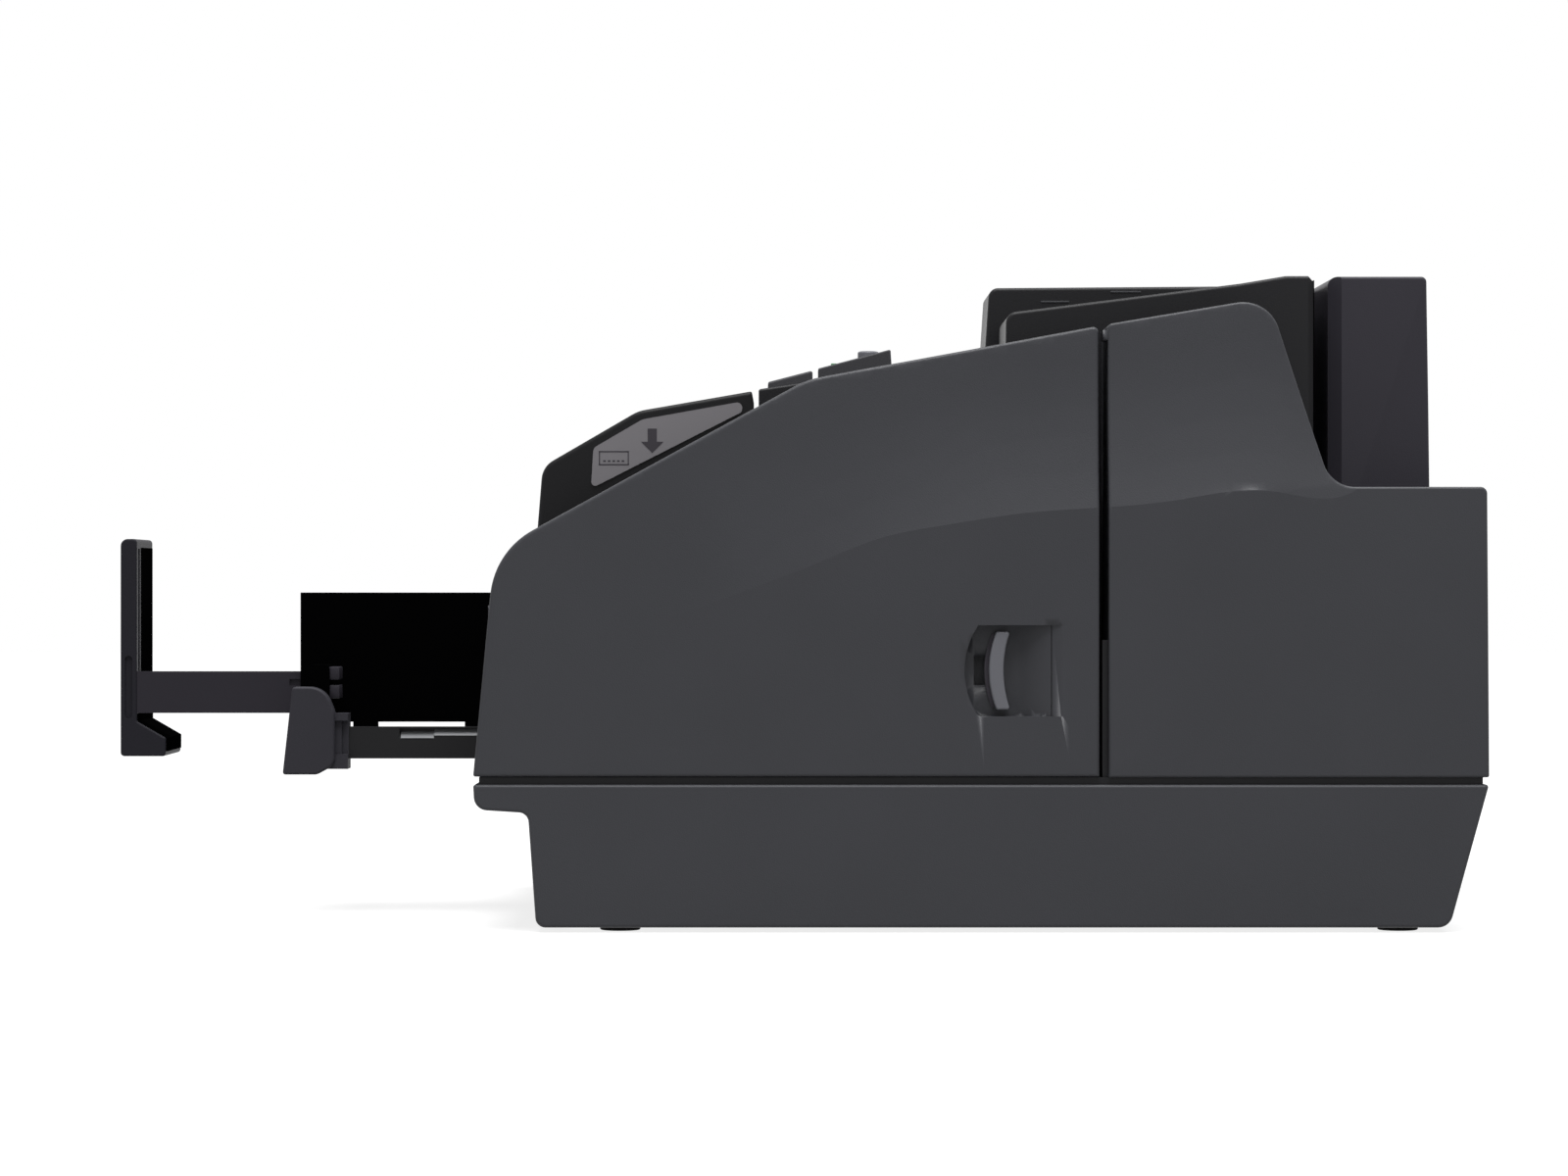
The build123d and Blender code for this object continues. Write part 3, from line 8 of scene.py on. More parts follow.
# %% Load the frame
import bpy
import bmesh
import json
import math
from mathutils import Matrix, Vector


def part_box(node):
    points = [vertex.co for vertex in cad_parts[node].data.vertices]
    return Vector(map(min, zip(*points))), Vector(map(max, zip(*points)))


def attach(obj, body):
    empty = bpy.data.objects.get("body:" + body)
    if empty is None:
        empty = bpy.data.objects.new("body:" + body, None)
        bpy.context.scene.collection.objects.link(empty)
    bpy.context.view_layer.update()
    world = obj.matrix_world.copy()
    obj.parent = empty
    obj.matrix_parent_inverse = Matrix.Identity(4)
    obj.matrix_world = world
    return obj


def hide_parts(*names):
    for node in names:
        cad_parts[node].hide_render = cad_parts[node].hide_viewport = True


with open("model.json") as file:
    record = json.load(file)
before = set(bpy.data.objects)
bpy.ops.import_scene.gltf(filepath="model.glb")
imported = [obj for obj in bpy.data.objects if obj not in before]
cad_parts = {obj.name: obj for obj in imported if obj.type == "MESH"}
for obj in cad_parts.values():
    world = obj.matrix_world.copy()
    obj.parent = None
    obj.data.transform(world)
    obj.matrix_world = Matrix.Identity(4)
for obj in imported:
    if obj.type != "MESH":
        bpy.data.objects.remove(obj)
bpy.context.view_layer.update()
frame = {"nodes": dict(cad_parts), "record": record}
nodes = frame["nodes"]
print("pieces in the frame:", len(nodes))

# %% [markdown]
# ## Camera
# A product shot of a machine like this is taken level with its middle, square to the side cover,
# from well over a metre away, so that the side stays undistorted while the blocks behind it still
# look a little smaller. A long lens does that. The camera is placed first because every finish is
# judged through it.

# %% Camera
shot_distance = 1.400        # from the side cover to the lens
shot_height = 0.1012
shot_width = 0.460           # what the frame spans at the side cover
side_cover_x = 0.107

camera_data = bpy.data.cameras.new("camera")
camera_data.sensor_width = 36.0
camera_data.lens = camera_data.sensor_width * shot_distance / shot_width
camera = bpy.data.objects.new("camera", camera_data)
camera.location = (side_cover_x + shot_distance, 0.0, shot_height)
camera.rotation_euler = (math.radians(90), 0.0, math.radians(90))
bpy.context.collection.objects.link(camera)
bpy.context.scene.camera = camera
print("lens:", round(camera_data.lens, 1), "mm")

# %% [markdown]
# ## Studio
# The floor and the background are one white sweep. The object is lit by large soft lamps: a
# strong one overhead, which makes upward-facing bands, rounded edges and the lower lips of
# hollows lighter than the upright faces, a weak one from the camera's side that fills the near
# face, and another from the front. The world adds a faint even glow. The sweep shows as white to
# the camera, in reflections and through glass, while the light that it throws back on the object
# is only that of a grey floor.

# %% Floor and world
floor_size = 6.0
floor_grey = 0.32            # what the floor throws back on the object
glow_reach = (0.25, 0.9)     # metres from the object's middle
glow_strength = (0.82, 1.0)  # the floor's own light at those two distances
sky_strength = 0.10
backdrop_strength = 1.0


def node_material(name):
    """A material with an empty node tree and its output."""
    material = bpy.data.materials.new(name)
    material.use_nodes = True
    tree = material.node_tree
    tree.nodes.clear()
    output = tree.nodes.new("ShaderNodeOutputMaterial")
    return material, tree, output


def seen_directly(tree):
    """1 for rays that show the background: from the camera, mirrored or through glass."""
    path = tree.nodes.new("ShaderNodeLightPath")
    total = path.outputs["Is Camera Ray"]
    for kind in ("Is Glossy Ray", "Is Transmission Ray"):
        either = tree.nodes.new("ShaderNodeMath")
        either.operation = "MAXIMUM"
        tree.links.new(total, either.inputs[0])
        tree.links.new(path.outputs[kind], either.inputs[1])
        total = either.outputs[0]
    return total


def floor_material():
    """Grey floor for the object's light and shadow, white where it is seen."""
    material, tree, output = node_material("studio_floor")
    matte = tree.nodes.new("ShaderNodeBsdfDiffuse")
    matte.inputs["Color"].default_value = (floor_grey, floor_grey, floor_grey, 1)
    glow = tree.nodes.new("ShaderNodeEmission")
    glow.inputs["Color"].default_value = (1, 1, 1, 1)
    place = tree.nodes.new("ShaderNodeTexCoord")
    away = tree.nodes.new("ShaderNodeVectorMath")
    away.operation = "LENGTH"
    tree.links.new(place.outputs["Object"], away.inputs[0])
    strength = tree.nodes.new("ShaderNodeMapRange")
    strength.inputs["From Min"].default_value = glow_reach[0]
    strength.inputs["From Max"].default_value = glow_reach[1]
    strength.inputs["To Min"].default_value = glow_strength[0]
    strength.inputs["To Max"].default_value = glow_strength[1]
    tree.links.new(away.outputs["Value"], strength.inputs["Value"])
    tree.links.new(strength.outputs["Result"], glow.inputs["Strength"])
    both = tree.nodes.new("ShaderNodeAddShader")
    switch = tree.nodes.new("ShaderNodeMixShader")
    tree.links.new(matte.outputs[0], both.inputs[0])
    tree.links.new(glow.outputs[0], both.inputs[1])
    tree.links.new(seen_directly(tree), switch.inputs[0])
    tree.links.new(matte.outputs[0], switch.inputs[1])
    tree.links.new(both.outputs[0], switch.inputs[2])
    tree.links.new(switch.outputs[0], output.inputs["Surface"])
    return material


def studio_floor():
    """A wide plain floor under the feet."""
    shape = bmesh.new()
    bmesh.ops.create_grid(shape, x_segments=1, y_segments=1, size=floor_size)
    mesh = bpy.data.meshes.new("studio_floor")
    shape.to_mesh(mesh)
    shape.free()
    piece = bpy.data.objects.new("studio_floor", mesh)
    mesh.materials.append(floor_material())
    bpy.context.collection.objects.link(piece)


studio_floor()
world = bpy.data.worlds.new("studio")
bpy.context.scene.world = world
world.use_nodes = True
tree = world.node_tree
tree.nodes.clear()
sky = tree.nodes.new("ShaderNodeBackground")
sky.inputs["Color"].default_value = (1, 1, 1, 1)
sky.inputs["Strength"].default_value = sky_strength
backdrop = tree.nodes.new("ShaderNodeBackground")
backdrop.inputs["Color"].default_value = (1, 1, 1, 1)
backdrop.inputs["Strength"].default_value = backdrop_strength
chooser = tree.nodes.new("ShaderNodeMixShader")
world_output = tree.nodes.new("ShaderNodeOutputWorld")
tree.links.new(seen_directly(tree), chooser.inputs[0])
tree.links.new(sky.outputs[0], chooser.inputs[1])
tree.links.new(backdrop.outputs[0], chooser.inputs[2])
tree.links.new(chooser.outputs[0], world_output.inputs["Surface"])
bpy.context.scene.view_settings.view_transform = "Standard"
print("floor and world are in")


# %% Lamps
def soft_lamp(name, place, target, size, power):
    """A square area lamp that faces its target."""
    data = bpy.data.lights.new(name, "AREA")
    data.size = size
    data.energy = power
    lamp = bpy.data.objects.new(name, data)
    lamp.location = place
    lamp.rotation_euler = (Vector(target) - Vector(place)).to_track_quat("-Z", "Y").to_euler()
    bpy.context.collection.objects.link(lamp)


# place, target and size in metres, power in watts
lamp_table = {
    "overhead": ((0.42, 0.1, 1.6), (0, 0, 0.1), 1.3, 47.0),
    "camera_side": ((1.7, 0.2, 1.0), (0.1, 0, 0.1), 1.0, 3.5),
    "front": ((0.5, -1.6, 0.8), (0, 0, 0.1), 0.8, 1.5),
}
for lamp_name, (lamp_place, lamp_target, lamp_size, lamp_power) in lamp_table.items():
    soft_lamp(lamp_name, lamp_place, lamp_target, lamp_size, lamp_power)

# %% [markdown]
# ## Moulded plastic
# Injection-moulded covers get their matt look from a spark-eroded tool: shallow pits a few tenths
# of a millimetre across. A noise texture at that scale drives a weak bump, a second, slower noise
# lets the roughness and the colour drift a little, as they do on any real moulding. The same
# recipe serves every plastic on the machine with other numbers.


# %% Plastic recipe
drift_scale = 22.0           # slow patches, a few centimetres across
drift_range = (0.3, 0.7)     # where most of the noise lies
gloss_drift = 0.06
pit_depth = 0.00012


def moulded_plastic(name, colour, roughness=0.5, grain=0.10, grain_scale=2600.0,
                    mottle=0.04, specular=0.2):
    """Plastic with a fine eroded grain and a slow drift of tone."""
    material, tree, output = node_material(name)
    shader = tree.nodes.new("ShaderNodeBsdfPrincipled")
    shader.inputs["Specular IOR Level"].default_value = specular
    place = tree.nodes.new("ShaderNodeTexCoord")
    slow = tree.nodes.new("ShaderNodeTexNoise")
    slow.inputs["Scale"].default_value = drift_scale
    slow.inputs["Detail"].default_value = 3.0
    tree.links.new(place.outputs["Object"], slow.inputs["Vector"])
    tone = tree.nodes.new("ShaderNodeMapRange")
    tone.inputs["From Min"].default_value = drift_range[0]
    tone.inputs["From Max"].default_value = drift_range[1]
    tone.inputs["To Min"].default_value = 1.0 - mottle
    tone.inputs["To Max"].default_value = 1.0 + mottle
    tree.links.new(slow.outputs["Fac"], tone.inputs["Value"])
    base = tree.nodes.new("ShaderNodeRGB")
    base.outputs[0].default_value = (*colour, 1)
    scaled = tree.nodes.new("ShaderNodeVectorMath")
    scaled.operation = "SCALE"
    tree.links.new(base.outputs[0], scaled.inputs[0])
    tree.links.new(tone.outputs["Result"], scaled.inputs["Scale"])
    tree.links.new(scaled.outputs["Vector"], shader.inputs["Base Color"])
    pits = tree.nodes.new("ShaderNodeTexNoise")
    pits.inputs["Scale"].default_value = grain_scale
    pits.inputs["Detail"].default_value = 2.0
    tree.links.new(place.outputs["Object"], pits.inputs["Vector"])
    gloss = tree.nodes.new("ShaderNodeMapRange")
    gloss.inputs["To Min"].default_value = roughness - gloss_drift
    gloss.inputs["To Max"].default_value = roughness + gloss_drift
    tree.links.new(slow.outputs["Fac"], gloss.inputs["Value"])
    tree.links.new(gloss.outputs["Result"], shader.inputs["Roughness"])
    relief = tree.nodes.new("ShaderNodeBump")
    relief.inputs["Strength"].default_value = grain
    relief.inputs["Distance"].default_value = pit_depth
    tree.links.new(pits.outputs["Fac"], relief.inputs["Height"])
    tree.links.new(relief.outputs["Normal"], shader.inputs["Normal"])
    tree.links.new(shader.outputs[0], output.inputs["Surface"])
    return material


cover_plastic = moulded_plastic("cover_plastic", (0.043, 0.044, 0.050), 0.38, 0.30)
block_plastic = moulded_plastic("block_plastic", (0.012, 0.012, 0.0135), 0.36, 0.25, specular=0.14)
wall_plastic = moulded_plastic("hopper_wall_plastic", (0.010, 0.010, 0.011), 0.38, 0.2,
                               specular=0.12)
rear_plastic = moulded_plastic("rear_block_plastic", (0.034, 0.032, 0.040), 0.40, 0.25,
                               specular=0.12)
stopper_plastic = moulded_plastic("stopper_plastic", (0.034, 0.033, 0.040), 0.5, 0.25,
                                  specular=0.1)
arm_plastic = moulded_plastic("arm_plastic", (0.022, 0.020, 0.026), 0.5, 0.15, specular=0.12)
long_stopper_plastic = moulded_plastic("long_stopper_plastic", (0.016, 0.0155, 0.020), 0.5, 0.25,
                                       specular=0.08)
short_arm_plastic = moulded_plastic("short_arm_plastic", (0.013, 0.013, 0.014), 0.5, 0.15,
                                    specular=0.12)
plate_plastic = moulded_plastic("latch_plate_plastic", (0.050, 0.045, 0.056), 0.5, 0.15)
# near-black plastic of the tray, the gate and the small stopper's pad; also the painted shade of
# the sheets on the large stopper, in the turning slot and in the louvre slits
black_plastic_and_shade = moulded_plastic("black_plastic_and_shade", (0.0012, 0.0012, 0.0013), 0.5, 0.12, mottle=0.03,
                               specular=0.0)
lever_plastic = moulded_plastic("lever_plastic", (0.150, 0.152, 0.170), 0.45, 0.20)
# grey plastic of the slider, pusher, pad and pulley; also the painted highlights of two marks on
# the cartridge lid
bracket_plastic = moulded_plastic("bracket_plastic", (0.050, 0.051, 0.056), 0.5, 0.20)
key_plastic = moulded_plastic("key_plastic", (0.045, 0.045, 0.050), 0.5, 0.18)
guide_plastic = moulded_plastic("guide_plastic", (0.006, 0.006, 0.0065), 0.4, 0.08, specular=0.08)
print("plastics:", [m.name for m in bpy.data.materials if "plastic" in m.name])

# %% [markdown]
# ## Rubber, metal, glass and board
# The rollers are moulded rubber with a ground surface, so their grain is a little coarser and
# their gloss lower. Shafts and hinge pins are ground steel: fine scratches run round them. The
# image sensors look out through a strip of glass, and the board inside is green solder mask.


# %% Other finishes
scratch_scale = (300, 300, 6000)     # finest up the shaft, so that the scratches run round it
scratch_depth = 0.0001


def rubber(name, colour, roughness=0.82):
    """Ground rubber: matt, with a coarse fine-pitted surface."""
    return moulded_plastic(name, colour, roughness, 0.6, 1500.0, 0.12, 0.25)


def ground_metal(name, colour, roughness=0.3):
    """Metal with fine scratches, one way round the part."""
    material, tree, output = node_material(name)
    shader = tree.nodes.new("ShaderNodeBsdfPrincipled")
    shader.inputs["Base Color"].default_value = (*colour, 1)
    shader.inputs["Metallic"].default_value = 1.0
    place = tree.nodes.new("ShaderNodeTexCoord")
    stretch = tree.nodes.new("ShaderNodeMapping")
    stretch.inputs["Scale"].default_value = scratch_scale
    lines = tree.nodes.new("ShaderNodeTexNoise")
    lines.inputs["Scale"].default_value = 1.0
    lines.inputs["Detail"].default_value = 3.0
    tree.links.new(place.outputs["Object"], stretch.inputs["Vector"])
    tree.links.new(stretch.outputs["Vector"], lines.inputs["Vector"])
    gloss = tree.nodes.new("ShaderNodeMapRange")
    gloss.inputs["To Min"].default_value = roughness - 0.1
    gloss.inputs["To Max"].default_value = roughness + 0.12
    tree.links.new(lines.outputs["Fac"], gloss.inputs["Value"])
    tree.links.new(gloss.outputs["Result"], shader.inputs["Roughness"])
    relief = tree.nodes.new("ShaderNodeBump")
    relief.inputs["Strength"].default_value = 0.12
    relief.inputs["Distance"].default_value = scratch_depth
    tree.links.new(lines.outputs["Fac"], relief.inputs["Height"])
    tree.links.new(relief.outputs["Normal"], shader.inputs["Normal"])
    tree.links.new(shader.outputs[0], output.inputs["Surface"])
    return material


def clear_glass(name, colour):
    """A thin dark-looking pane."""
    material, tree, output = node_material(name)
    shader = tree.nodes.new("ShaderNodeBsdfPrincipled")
    shader.inputs["Base Color"].default_value = (*colour, 1)
    shader.inputs["Roughness"].default_value = 0.04
    shader.inputs["IOR"].default_value = 1.5
    shader.inputs["Transmission Weight"].default_value = 0.9
    tree.links.new(shader.outputs[0], output.inputs["Surface"])
    return material


tyre_rubber = rubber("tyre_rubber", (0.045, 0.044, 0.043))
foot_rubber = rubber("foot_rubber", (0.02, 0.02, 0.02))
belt_rubber = rubber("belt_rubber", (0.015, 0.015, 0.016), 0.7)
steel = ground_metal("ground_steel", (0.60, 0.60, 0.62))
bronze = ground_metal("bush_bronze", (0.62, 0.42, 0.22), 0.4)
plated = ground_metal("plated_steel", (0.66, 0.66, 0.66), 0.28)
pane = clear_glass("sensor_pane", (0.80, 0.90, 0.92))
solder_mask = moulded_plastic("solder_mask", (0.010, 0.085, 0.035), 0.35, 0.05, 400.0, 0.1)
lens_green = moulded_plastic("lens_green", (0.10, 0.36, 0.14), 0.2, 0.0, specular=0.6)
label_film = moulded_plastic("label_film", (0.215, 0.207, 0.220), 0.42, 0.10, mottle=0.02)
# light grey film: painted highlight of the ledge in the small stopper arm's channel
ledge_highlight_film = moulded_plastic("ledge_highlight_film", (0.23, 0.235, 0.245), 0.5, 0.08, mottle=0.02)
label_ink = moulded_plastic("label_ink", (0.046, 0.042, 0.050), 0.5, 0.05, mottle=0.02)
print("finishes:", len(bpy.data.materials))

# %% [markdown]
# ## Finishes on the solids
# A solid whose shape is already right keeps its mesh and only gets a material. The table reads
# like a parts list, one finish per line.

# %% Assign the finishes
finish_of = {
    cover_plastic: ["base_shell", "scanner_cover", "right_rear_cover", "rear_cover"],
    block_plastic: ["centre_casing", "centre_block", "left_casing", "cartridge_cover",
                    "chassis_deck", "latch_keeper"],
    wall_plastic: ["hopper_wall"],
    rear_plastic: ["rear_block"],
    guide_plastic: ["scanner_inner_guide", "outer_guide", "front_image_sensor",
                    "rear_image_sensor", "ink_cartridge", "key_switches", "dc_inlet"],
    stopper_plastic: ["sub_stopper"],
    long_stopper_plastic: ["main_stopper"],
    arm_plastic: ["main_stopper_arm"],
    short_arm_plastic: ["sub_stopper_arm"],
    plate_plastic: ["latch_plate"],
    black_plastic_and_shade: ["pocket_tray", "diverter_gate", "sub_stopper_pad"],
    lever_plastic: ["latch_lever", "power_button"],
    bracket_plastic: ["latch_slider", "pusher_plate", "micr_pressure_pad",
                      "motor_pulley"],
    key_plastic: ["indicator_panel", "eject_key"],
    tyre_rubber: [n for n in nodes if n.endswith("roller") or "_roller_" in n],
    foot_rubber: ["rubber_feet"],
    belt_rubber: ["drive_belt"],
    steel: ["cover_hinge_shaft", "base_screws", "lid_hinge_pins", "motor"],
    plated: ["usb_port", "micr_head"],
    bronze: ["shaft_bushes"],
    pane: ["front_sensor_glass", "rear_sensor_glass"],
    solder_mask: ["main_board"],
    lens_green: ["status_lenses"],
    label_film: ["label_plate"],
}
dressed = []
for material, names in finish_of.items():
    for name in names:
        nodes[name].data.materials.clear()
        nodes[name].data.materials.append(material)
        dressed.append(name)
print("not dressed:", sorted(set(nodes) - set(dressed)))

# %% [markdown]
# ## Placing pieces
# Every new piece starts as a bmesh. One helper turns it into an object with a finish and soft
# shading, and lets it ride on the body that it belongs to, so that it moves with that joint.


# %% Helpers
def placed(name, shape, material, body, smooth_angle=35):
    """Turns a bmesh into an object that rides on a body."""
    mesh = bpy.data.meshes.new(name)
    shape.to_mesh(mesh)
    shape.free()
    mesh.materials.append(material)
    mesh.shade_smooth()
    mesh.set_sharp_from_angle(angle=math.radians(smooth_angle))
    piece = bpy.data.objects.new(name, mesh)
    bpy.context.collection.objects.link(piece)
    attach(piece, body)
    return piece


def body_of_node(name):
    """Name of the body that a node of the frame belongs to."""
    for body, members in frame["record"]["behaviour"]["bodies"].items():
        if name in members:
            return body


# %% [markdown]
# ## Hollowed band of the side covers
# Above its crease, each side cover is hollowed a few millimetres. The real band is concave: it
# leaves the crease at a clear angle and is upright again about forty millimetres higher, so that
# the light from above fades up the band. The solids carry a flatter hollow of nearly the same
# depth. Copies of their meshes are cut at close levels, and each point of the band is moved
# sideways from the flat curve to the concave one. The crease itself does not move.

# %% Concave band
band_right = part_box("scanner_cover")[1].x
band_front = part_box("scanner_cover")[0].y
solid_band = (0.0050, 0.075)         # depth and height of the hollow in the solids
real_band = (0.0046, 0.042)          # depth and height of the concave one
band_begins, band_grows = 44.0, 131.0    # millimetres along the cover: start, and run to full depth
lowest_cut = 0.085                   # the copies are cut from this level up
cut_reach = 0.0062                   # only faces this near the side are cut
band_slack = 0.0013                  # how far behind the solids' band its points may lie
on_side = 0.000005                   # a point this near the side is on it
corner_points = [(-6.0, 65.5), (44.0, 87.5), (87.3, 103.0), (122.6, 117.0), (157.7, 122.8),
                 (186.0, 125.0), (262.0, 132.4), (300.0, 136.1)]
section_stations = [-6, 10, 27, 44, 60, 80, 100, 120, 140, 160, 180, 207, 234, 262, 290]


def between_corners(station):
    """Height read off between two corner points, both in millimetres."""
    for (s0, z0), (s1, z1) in zip(corner_points, corner_points[1:]):
        if station <= s1:
            return z0 + (z1 - z0) * (station - s0) / (s1 - s0)


sections = [(s, between_corners(s)) for s in section_stations]


def crease_at(y):
    """Height of the crease at a place along the machine, on a smooth curve through sections."""
    station = min(max((y - band_front) * 1000, sections[0][0]), sections[-1][0] - 0.01)
    i = max(k for k in range(len(sections) - 1) if sections[k][0] <= station)
    (s1, z1), (s2, z2) = sections[i], sections[i + 1]
    s0, z0 = sections[max(i - 1, 0)]
    s3, z3 = sections[min(i + 2, len(sections) - 1)]
    slope1 = (z2 - z0) / (s2 - s0)
    slope2 = (z3 - z1) / (s3 - s1)
    t = (station - s1) / (s2 - s1)
    span = s2 - s1
    return ((2 * t**3 - 3 * t**2 + 1) * z1 + (t**3 - 2 * t**2 + t) * span * slope1
            + (3 * t**2 - 2 * t**3) * z2 + (t**3 - t**2) * span * slope2) / 1000


def band_depth(y, z, band):
    """Depth of a hollow that starts at the crease and is upright at its full height."""
    depth, height = band
    station = (y - band_front) * 1000
    along = min(max((station - band_begins) / band_grows, 0.0), 1.0)
    ease = along * along * (3 - 2 * along)
    up = min(max((z - crease_at(y)) / height, 0.0), 1.0)
    return depth * ease * (1 - (1 - up) ** 2)


def sharpen_crease(mesh):
    """Marks as sharp the edges between the flat side and the band."""
    shape = bmesh.new()
    shape.from_mesh(mesh)

    def flat(face):
        return all(abs(v.co.x - band_right) < on_side for v in face.verts)

    for edge in shape.edges:
        if len(edge.link_faces) == 2 and sum(flat(f) for f in edge.link_faces) == 1:
            other = [f for f in edge.link_faces if not flat(f)][0]
            if other.normal.x > 0.9:
                edge.smooth = False
    shape.to_mesh(mesh)
    shape.free()


def concave_copy(name, step=0.0025):
    """Copy of a cover whose band is concave."""
    mesh = nodes[name].data.copy()
    shape = bmesh.new()
    shape.from_mesh(mesh)
    bmesh.ops.remove_doubles(shape, verts=shape.verts, dist=1e-6)
    low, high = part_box(name)
    for axis, start, end in ((2, lowest_cut, high.z), (1, low.y, high.y)):
        level = start + step
        while level < end:
            place = [0, 0, 0]
            place[axis] = level
            normal = [0, 0, 0]
            normal[axis] = 1
            near = [f for f in shape.faces if f.calc_center_median().x > band_right - cut_reach
                    and min(v.co[axis] for v in f.verts) < level
                    < max(v.co[axis] for v in f.verts)]
            geom = set(near)
            for face in near:
                geom.update(face.verts)
                geom.update(face.edges)
            bmesh.ops.bisect_plane(shape, geom=list(geom), plane_co=place, plane_no=normal,
                                   dist=1e-7)
            level += step
    for vert in shape.verts:
        x, y, z = vert.co
        old = band_depth(y, z, solid_band)
        if z > crease_at(y) and band_right - old - band_slack < x < band_right - on_side:
            vert.co.x = x - (band_depth(y, z, real_band) - old)
    piece = placed(name + "_concave", shape, cover_plastic, body_of_node(name), 30)
    sharpen_crease(piece.data)
    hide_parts(name)
    return piece


for name in ("scanner_cover", "right_rear_cover"):
    band = concave_copy(name)
    print(band.name, "has", len(band.data.polygons), "faces")

# %% [markdown]
# ## Rollers
# A feed roller is a steel shaft with a plastic sleeve, a belt pulley below the deck and two
# rubber tyres that have been ground true, with a few shallow grooves to carry paper dust away.
# All of it is round, so each part is drawn as half of its section and turned about the shaft's
# axis with the spin operator. The solid in the frame is one plain body, so the turned parts
# take its place.


# %% Turning
def turned(name, section, axis_at, material, body, steps=56):
    """A ring turned from a closed section of (radius, height) points, in millimetres."""
    shape = bmesh.new()
    ring = [shape.verts.new((axis_at[0] + r / 1000, axis_at[1], z / 1000)) for r, z in section]
    edges = [shape.edges.new((a, b)) for a, b in zip(ring, ring[1:] + ring[:1])]
    bmesh.ops.spin(shape, geom=ring + edges, cent=(axis_at[0], axis_at[1], 0), axis=(0, 0, 1),
                   angle=math.tau, steps=steps, use_merge=True, use_duplicate=False)
    bmesh.ops.remove_doubles(shape, verts=shape.verts, dist=1e-6)
    bmesh.ops.recalc_face_normals(shape, faces=shape.faces)
    return placed(name, shape, material, body)


def barrel(inner, outer, low, high, edge=0.5, grooves=()):
    """Section of a sleeve or tyre with broken edges and optional grooves at these heights."""
    points = [(inner, low), (outer - edge, low), (outer, low + edge)]
    for z in grooves:
        points += [(outer, z - 0.4), (outer - 0.5, z - 0.25), (outer - 0.5, z + 0.25),
                   (outer, z + 0.4)]
    return points + [(outer, high - edge), (outer - edge, high), (inner, high)]


# %% Driven and idle rollers
tyre_low, tyre_high, tyre_gap = 75.0, 115.0, 8.0
middle = (tyre_low + tyre_high) / 2
shaft_r, sleeve_r, pulley_r, pin_r = 2.0, 3.0, 6.5, 1.2
sleeve_low, sleeve_high = 46.3, 121.0
pulley_low, pulley_high = 2, 12          # above the lower end of the shaft
low_grooves, high_grooves, idle_grooves = (79, 83, 87), (103, 107, 111), (85, middle, 105)
driven = ["pickup_roller", "feed_roller", "drive_roller_1", "drive_roller_2", "drive_roller_3",
          "drive_roller_4"]
idle = ["retard_roller", "pinch_roller_1", "pinch_roller_2", "pinch_roller_3",
        "pinch_roller_4"]
for name in driven + idle:
    low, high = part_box(name)
    bottom, top = low.z * 1000, high.z * 1000
    centre = ((low.x + high.x) / 2, (low.y + high.y) / 2)
    radius = (high.x - low.x) * 500
    body = body_of_node(name)
    if name in driven:
        axle_r = shaft_r
        low_tyre = barrel(sleeve_r, radius, tyre_low, middle - tyre_gap / 2, 0.6, low_grooves)
        high_tyre = barrel(sleeve_r, radius, middle + tyre_gap / 2, tyre_high, 0.6, high_grooves)
        sleeve = barrel(shaft_r, sleeve_r, sleeve_low, sleeve_high, 0.3, (middle - 2, middle + 2))
        pulley = barrel(shaft_r, pulley_r, bottom + pulley_low, bottom + pulley_high, 0.8)
        parts = [
            turned(name + "_tyre_low", low_tyre, centre, tyre_rubber, body),
            turned(name + "_tyre_high", high_tyre, centre, tyre_rubber, body),
            turned(name + "_sleeve", sleeve, centre, guide_plastic, body),
            turned(name + "_pulley", pulley, centre, guide_plastic, body),
        ]
    else:
        axle_r = pin_r
        tyre = barrel(pin_r, radius, tyre_low, tyre_high, 0.5, idle_grooves)
        parts = [turned(name + "_tyre", tyre, centre, tyre_rubber, body)]
    axle = [(0.001, bottom), (axle_r - 0.2, bottom), (axle_r, bottom + 0.2), (axle_r, top - 0.2),
            (axle_r - 0.2, top), (0.001, top)]
    parts.append(turned(name + "_shaft", axle, centre, steel, body, 32))
    for part in parts:
        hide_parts(name)
print("rollers turned:", len(driven) + len(idle))

# %% [markdown]
# ## Loading pictogram
# The plate on the hopper's inner wall tells the user how to load. Here it carries plain signs
# only: a cheque with its row of printed marks, and an arrow that points down into the hopper.
# Each mark is a film six hundredths of a millimetre thick, drawn as a flat outline and extruded.

# %% Printed marks
print_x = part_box("label_plate")[1].x
film = 0.00006


def printed(name, outline):
    """A thin film on the plate from an outline of (y, z) points in millimetres."""
    shape = bmesh.new()
    corners = [shape.verts.new((print_x, y / 1000, z / 1000)) for y, z in outline]
    face = shape.faces.new(corners)
    raised = bmesh.ops.extrude_face_region(shape, geom=[face])
    moved = [g for g in raised["geom"] if isinstance(g, bmesh.types.BMVert)]
    bmesh.ops.translate(shape, verts=moved, vec=(film, 0, 0))
    bmesh.ops.recalc_face_normals(shape, faces=shape.faces)
    piece = placed(name, shape, label_ink, "chassis")


def bar(name, y0, z0, y1, z1):
    """A rectangle between two corners."""
    printed(name, [(y0, z0), (y1, z0), (y1, z1), (y0, z1)])


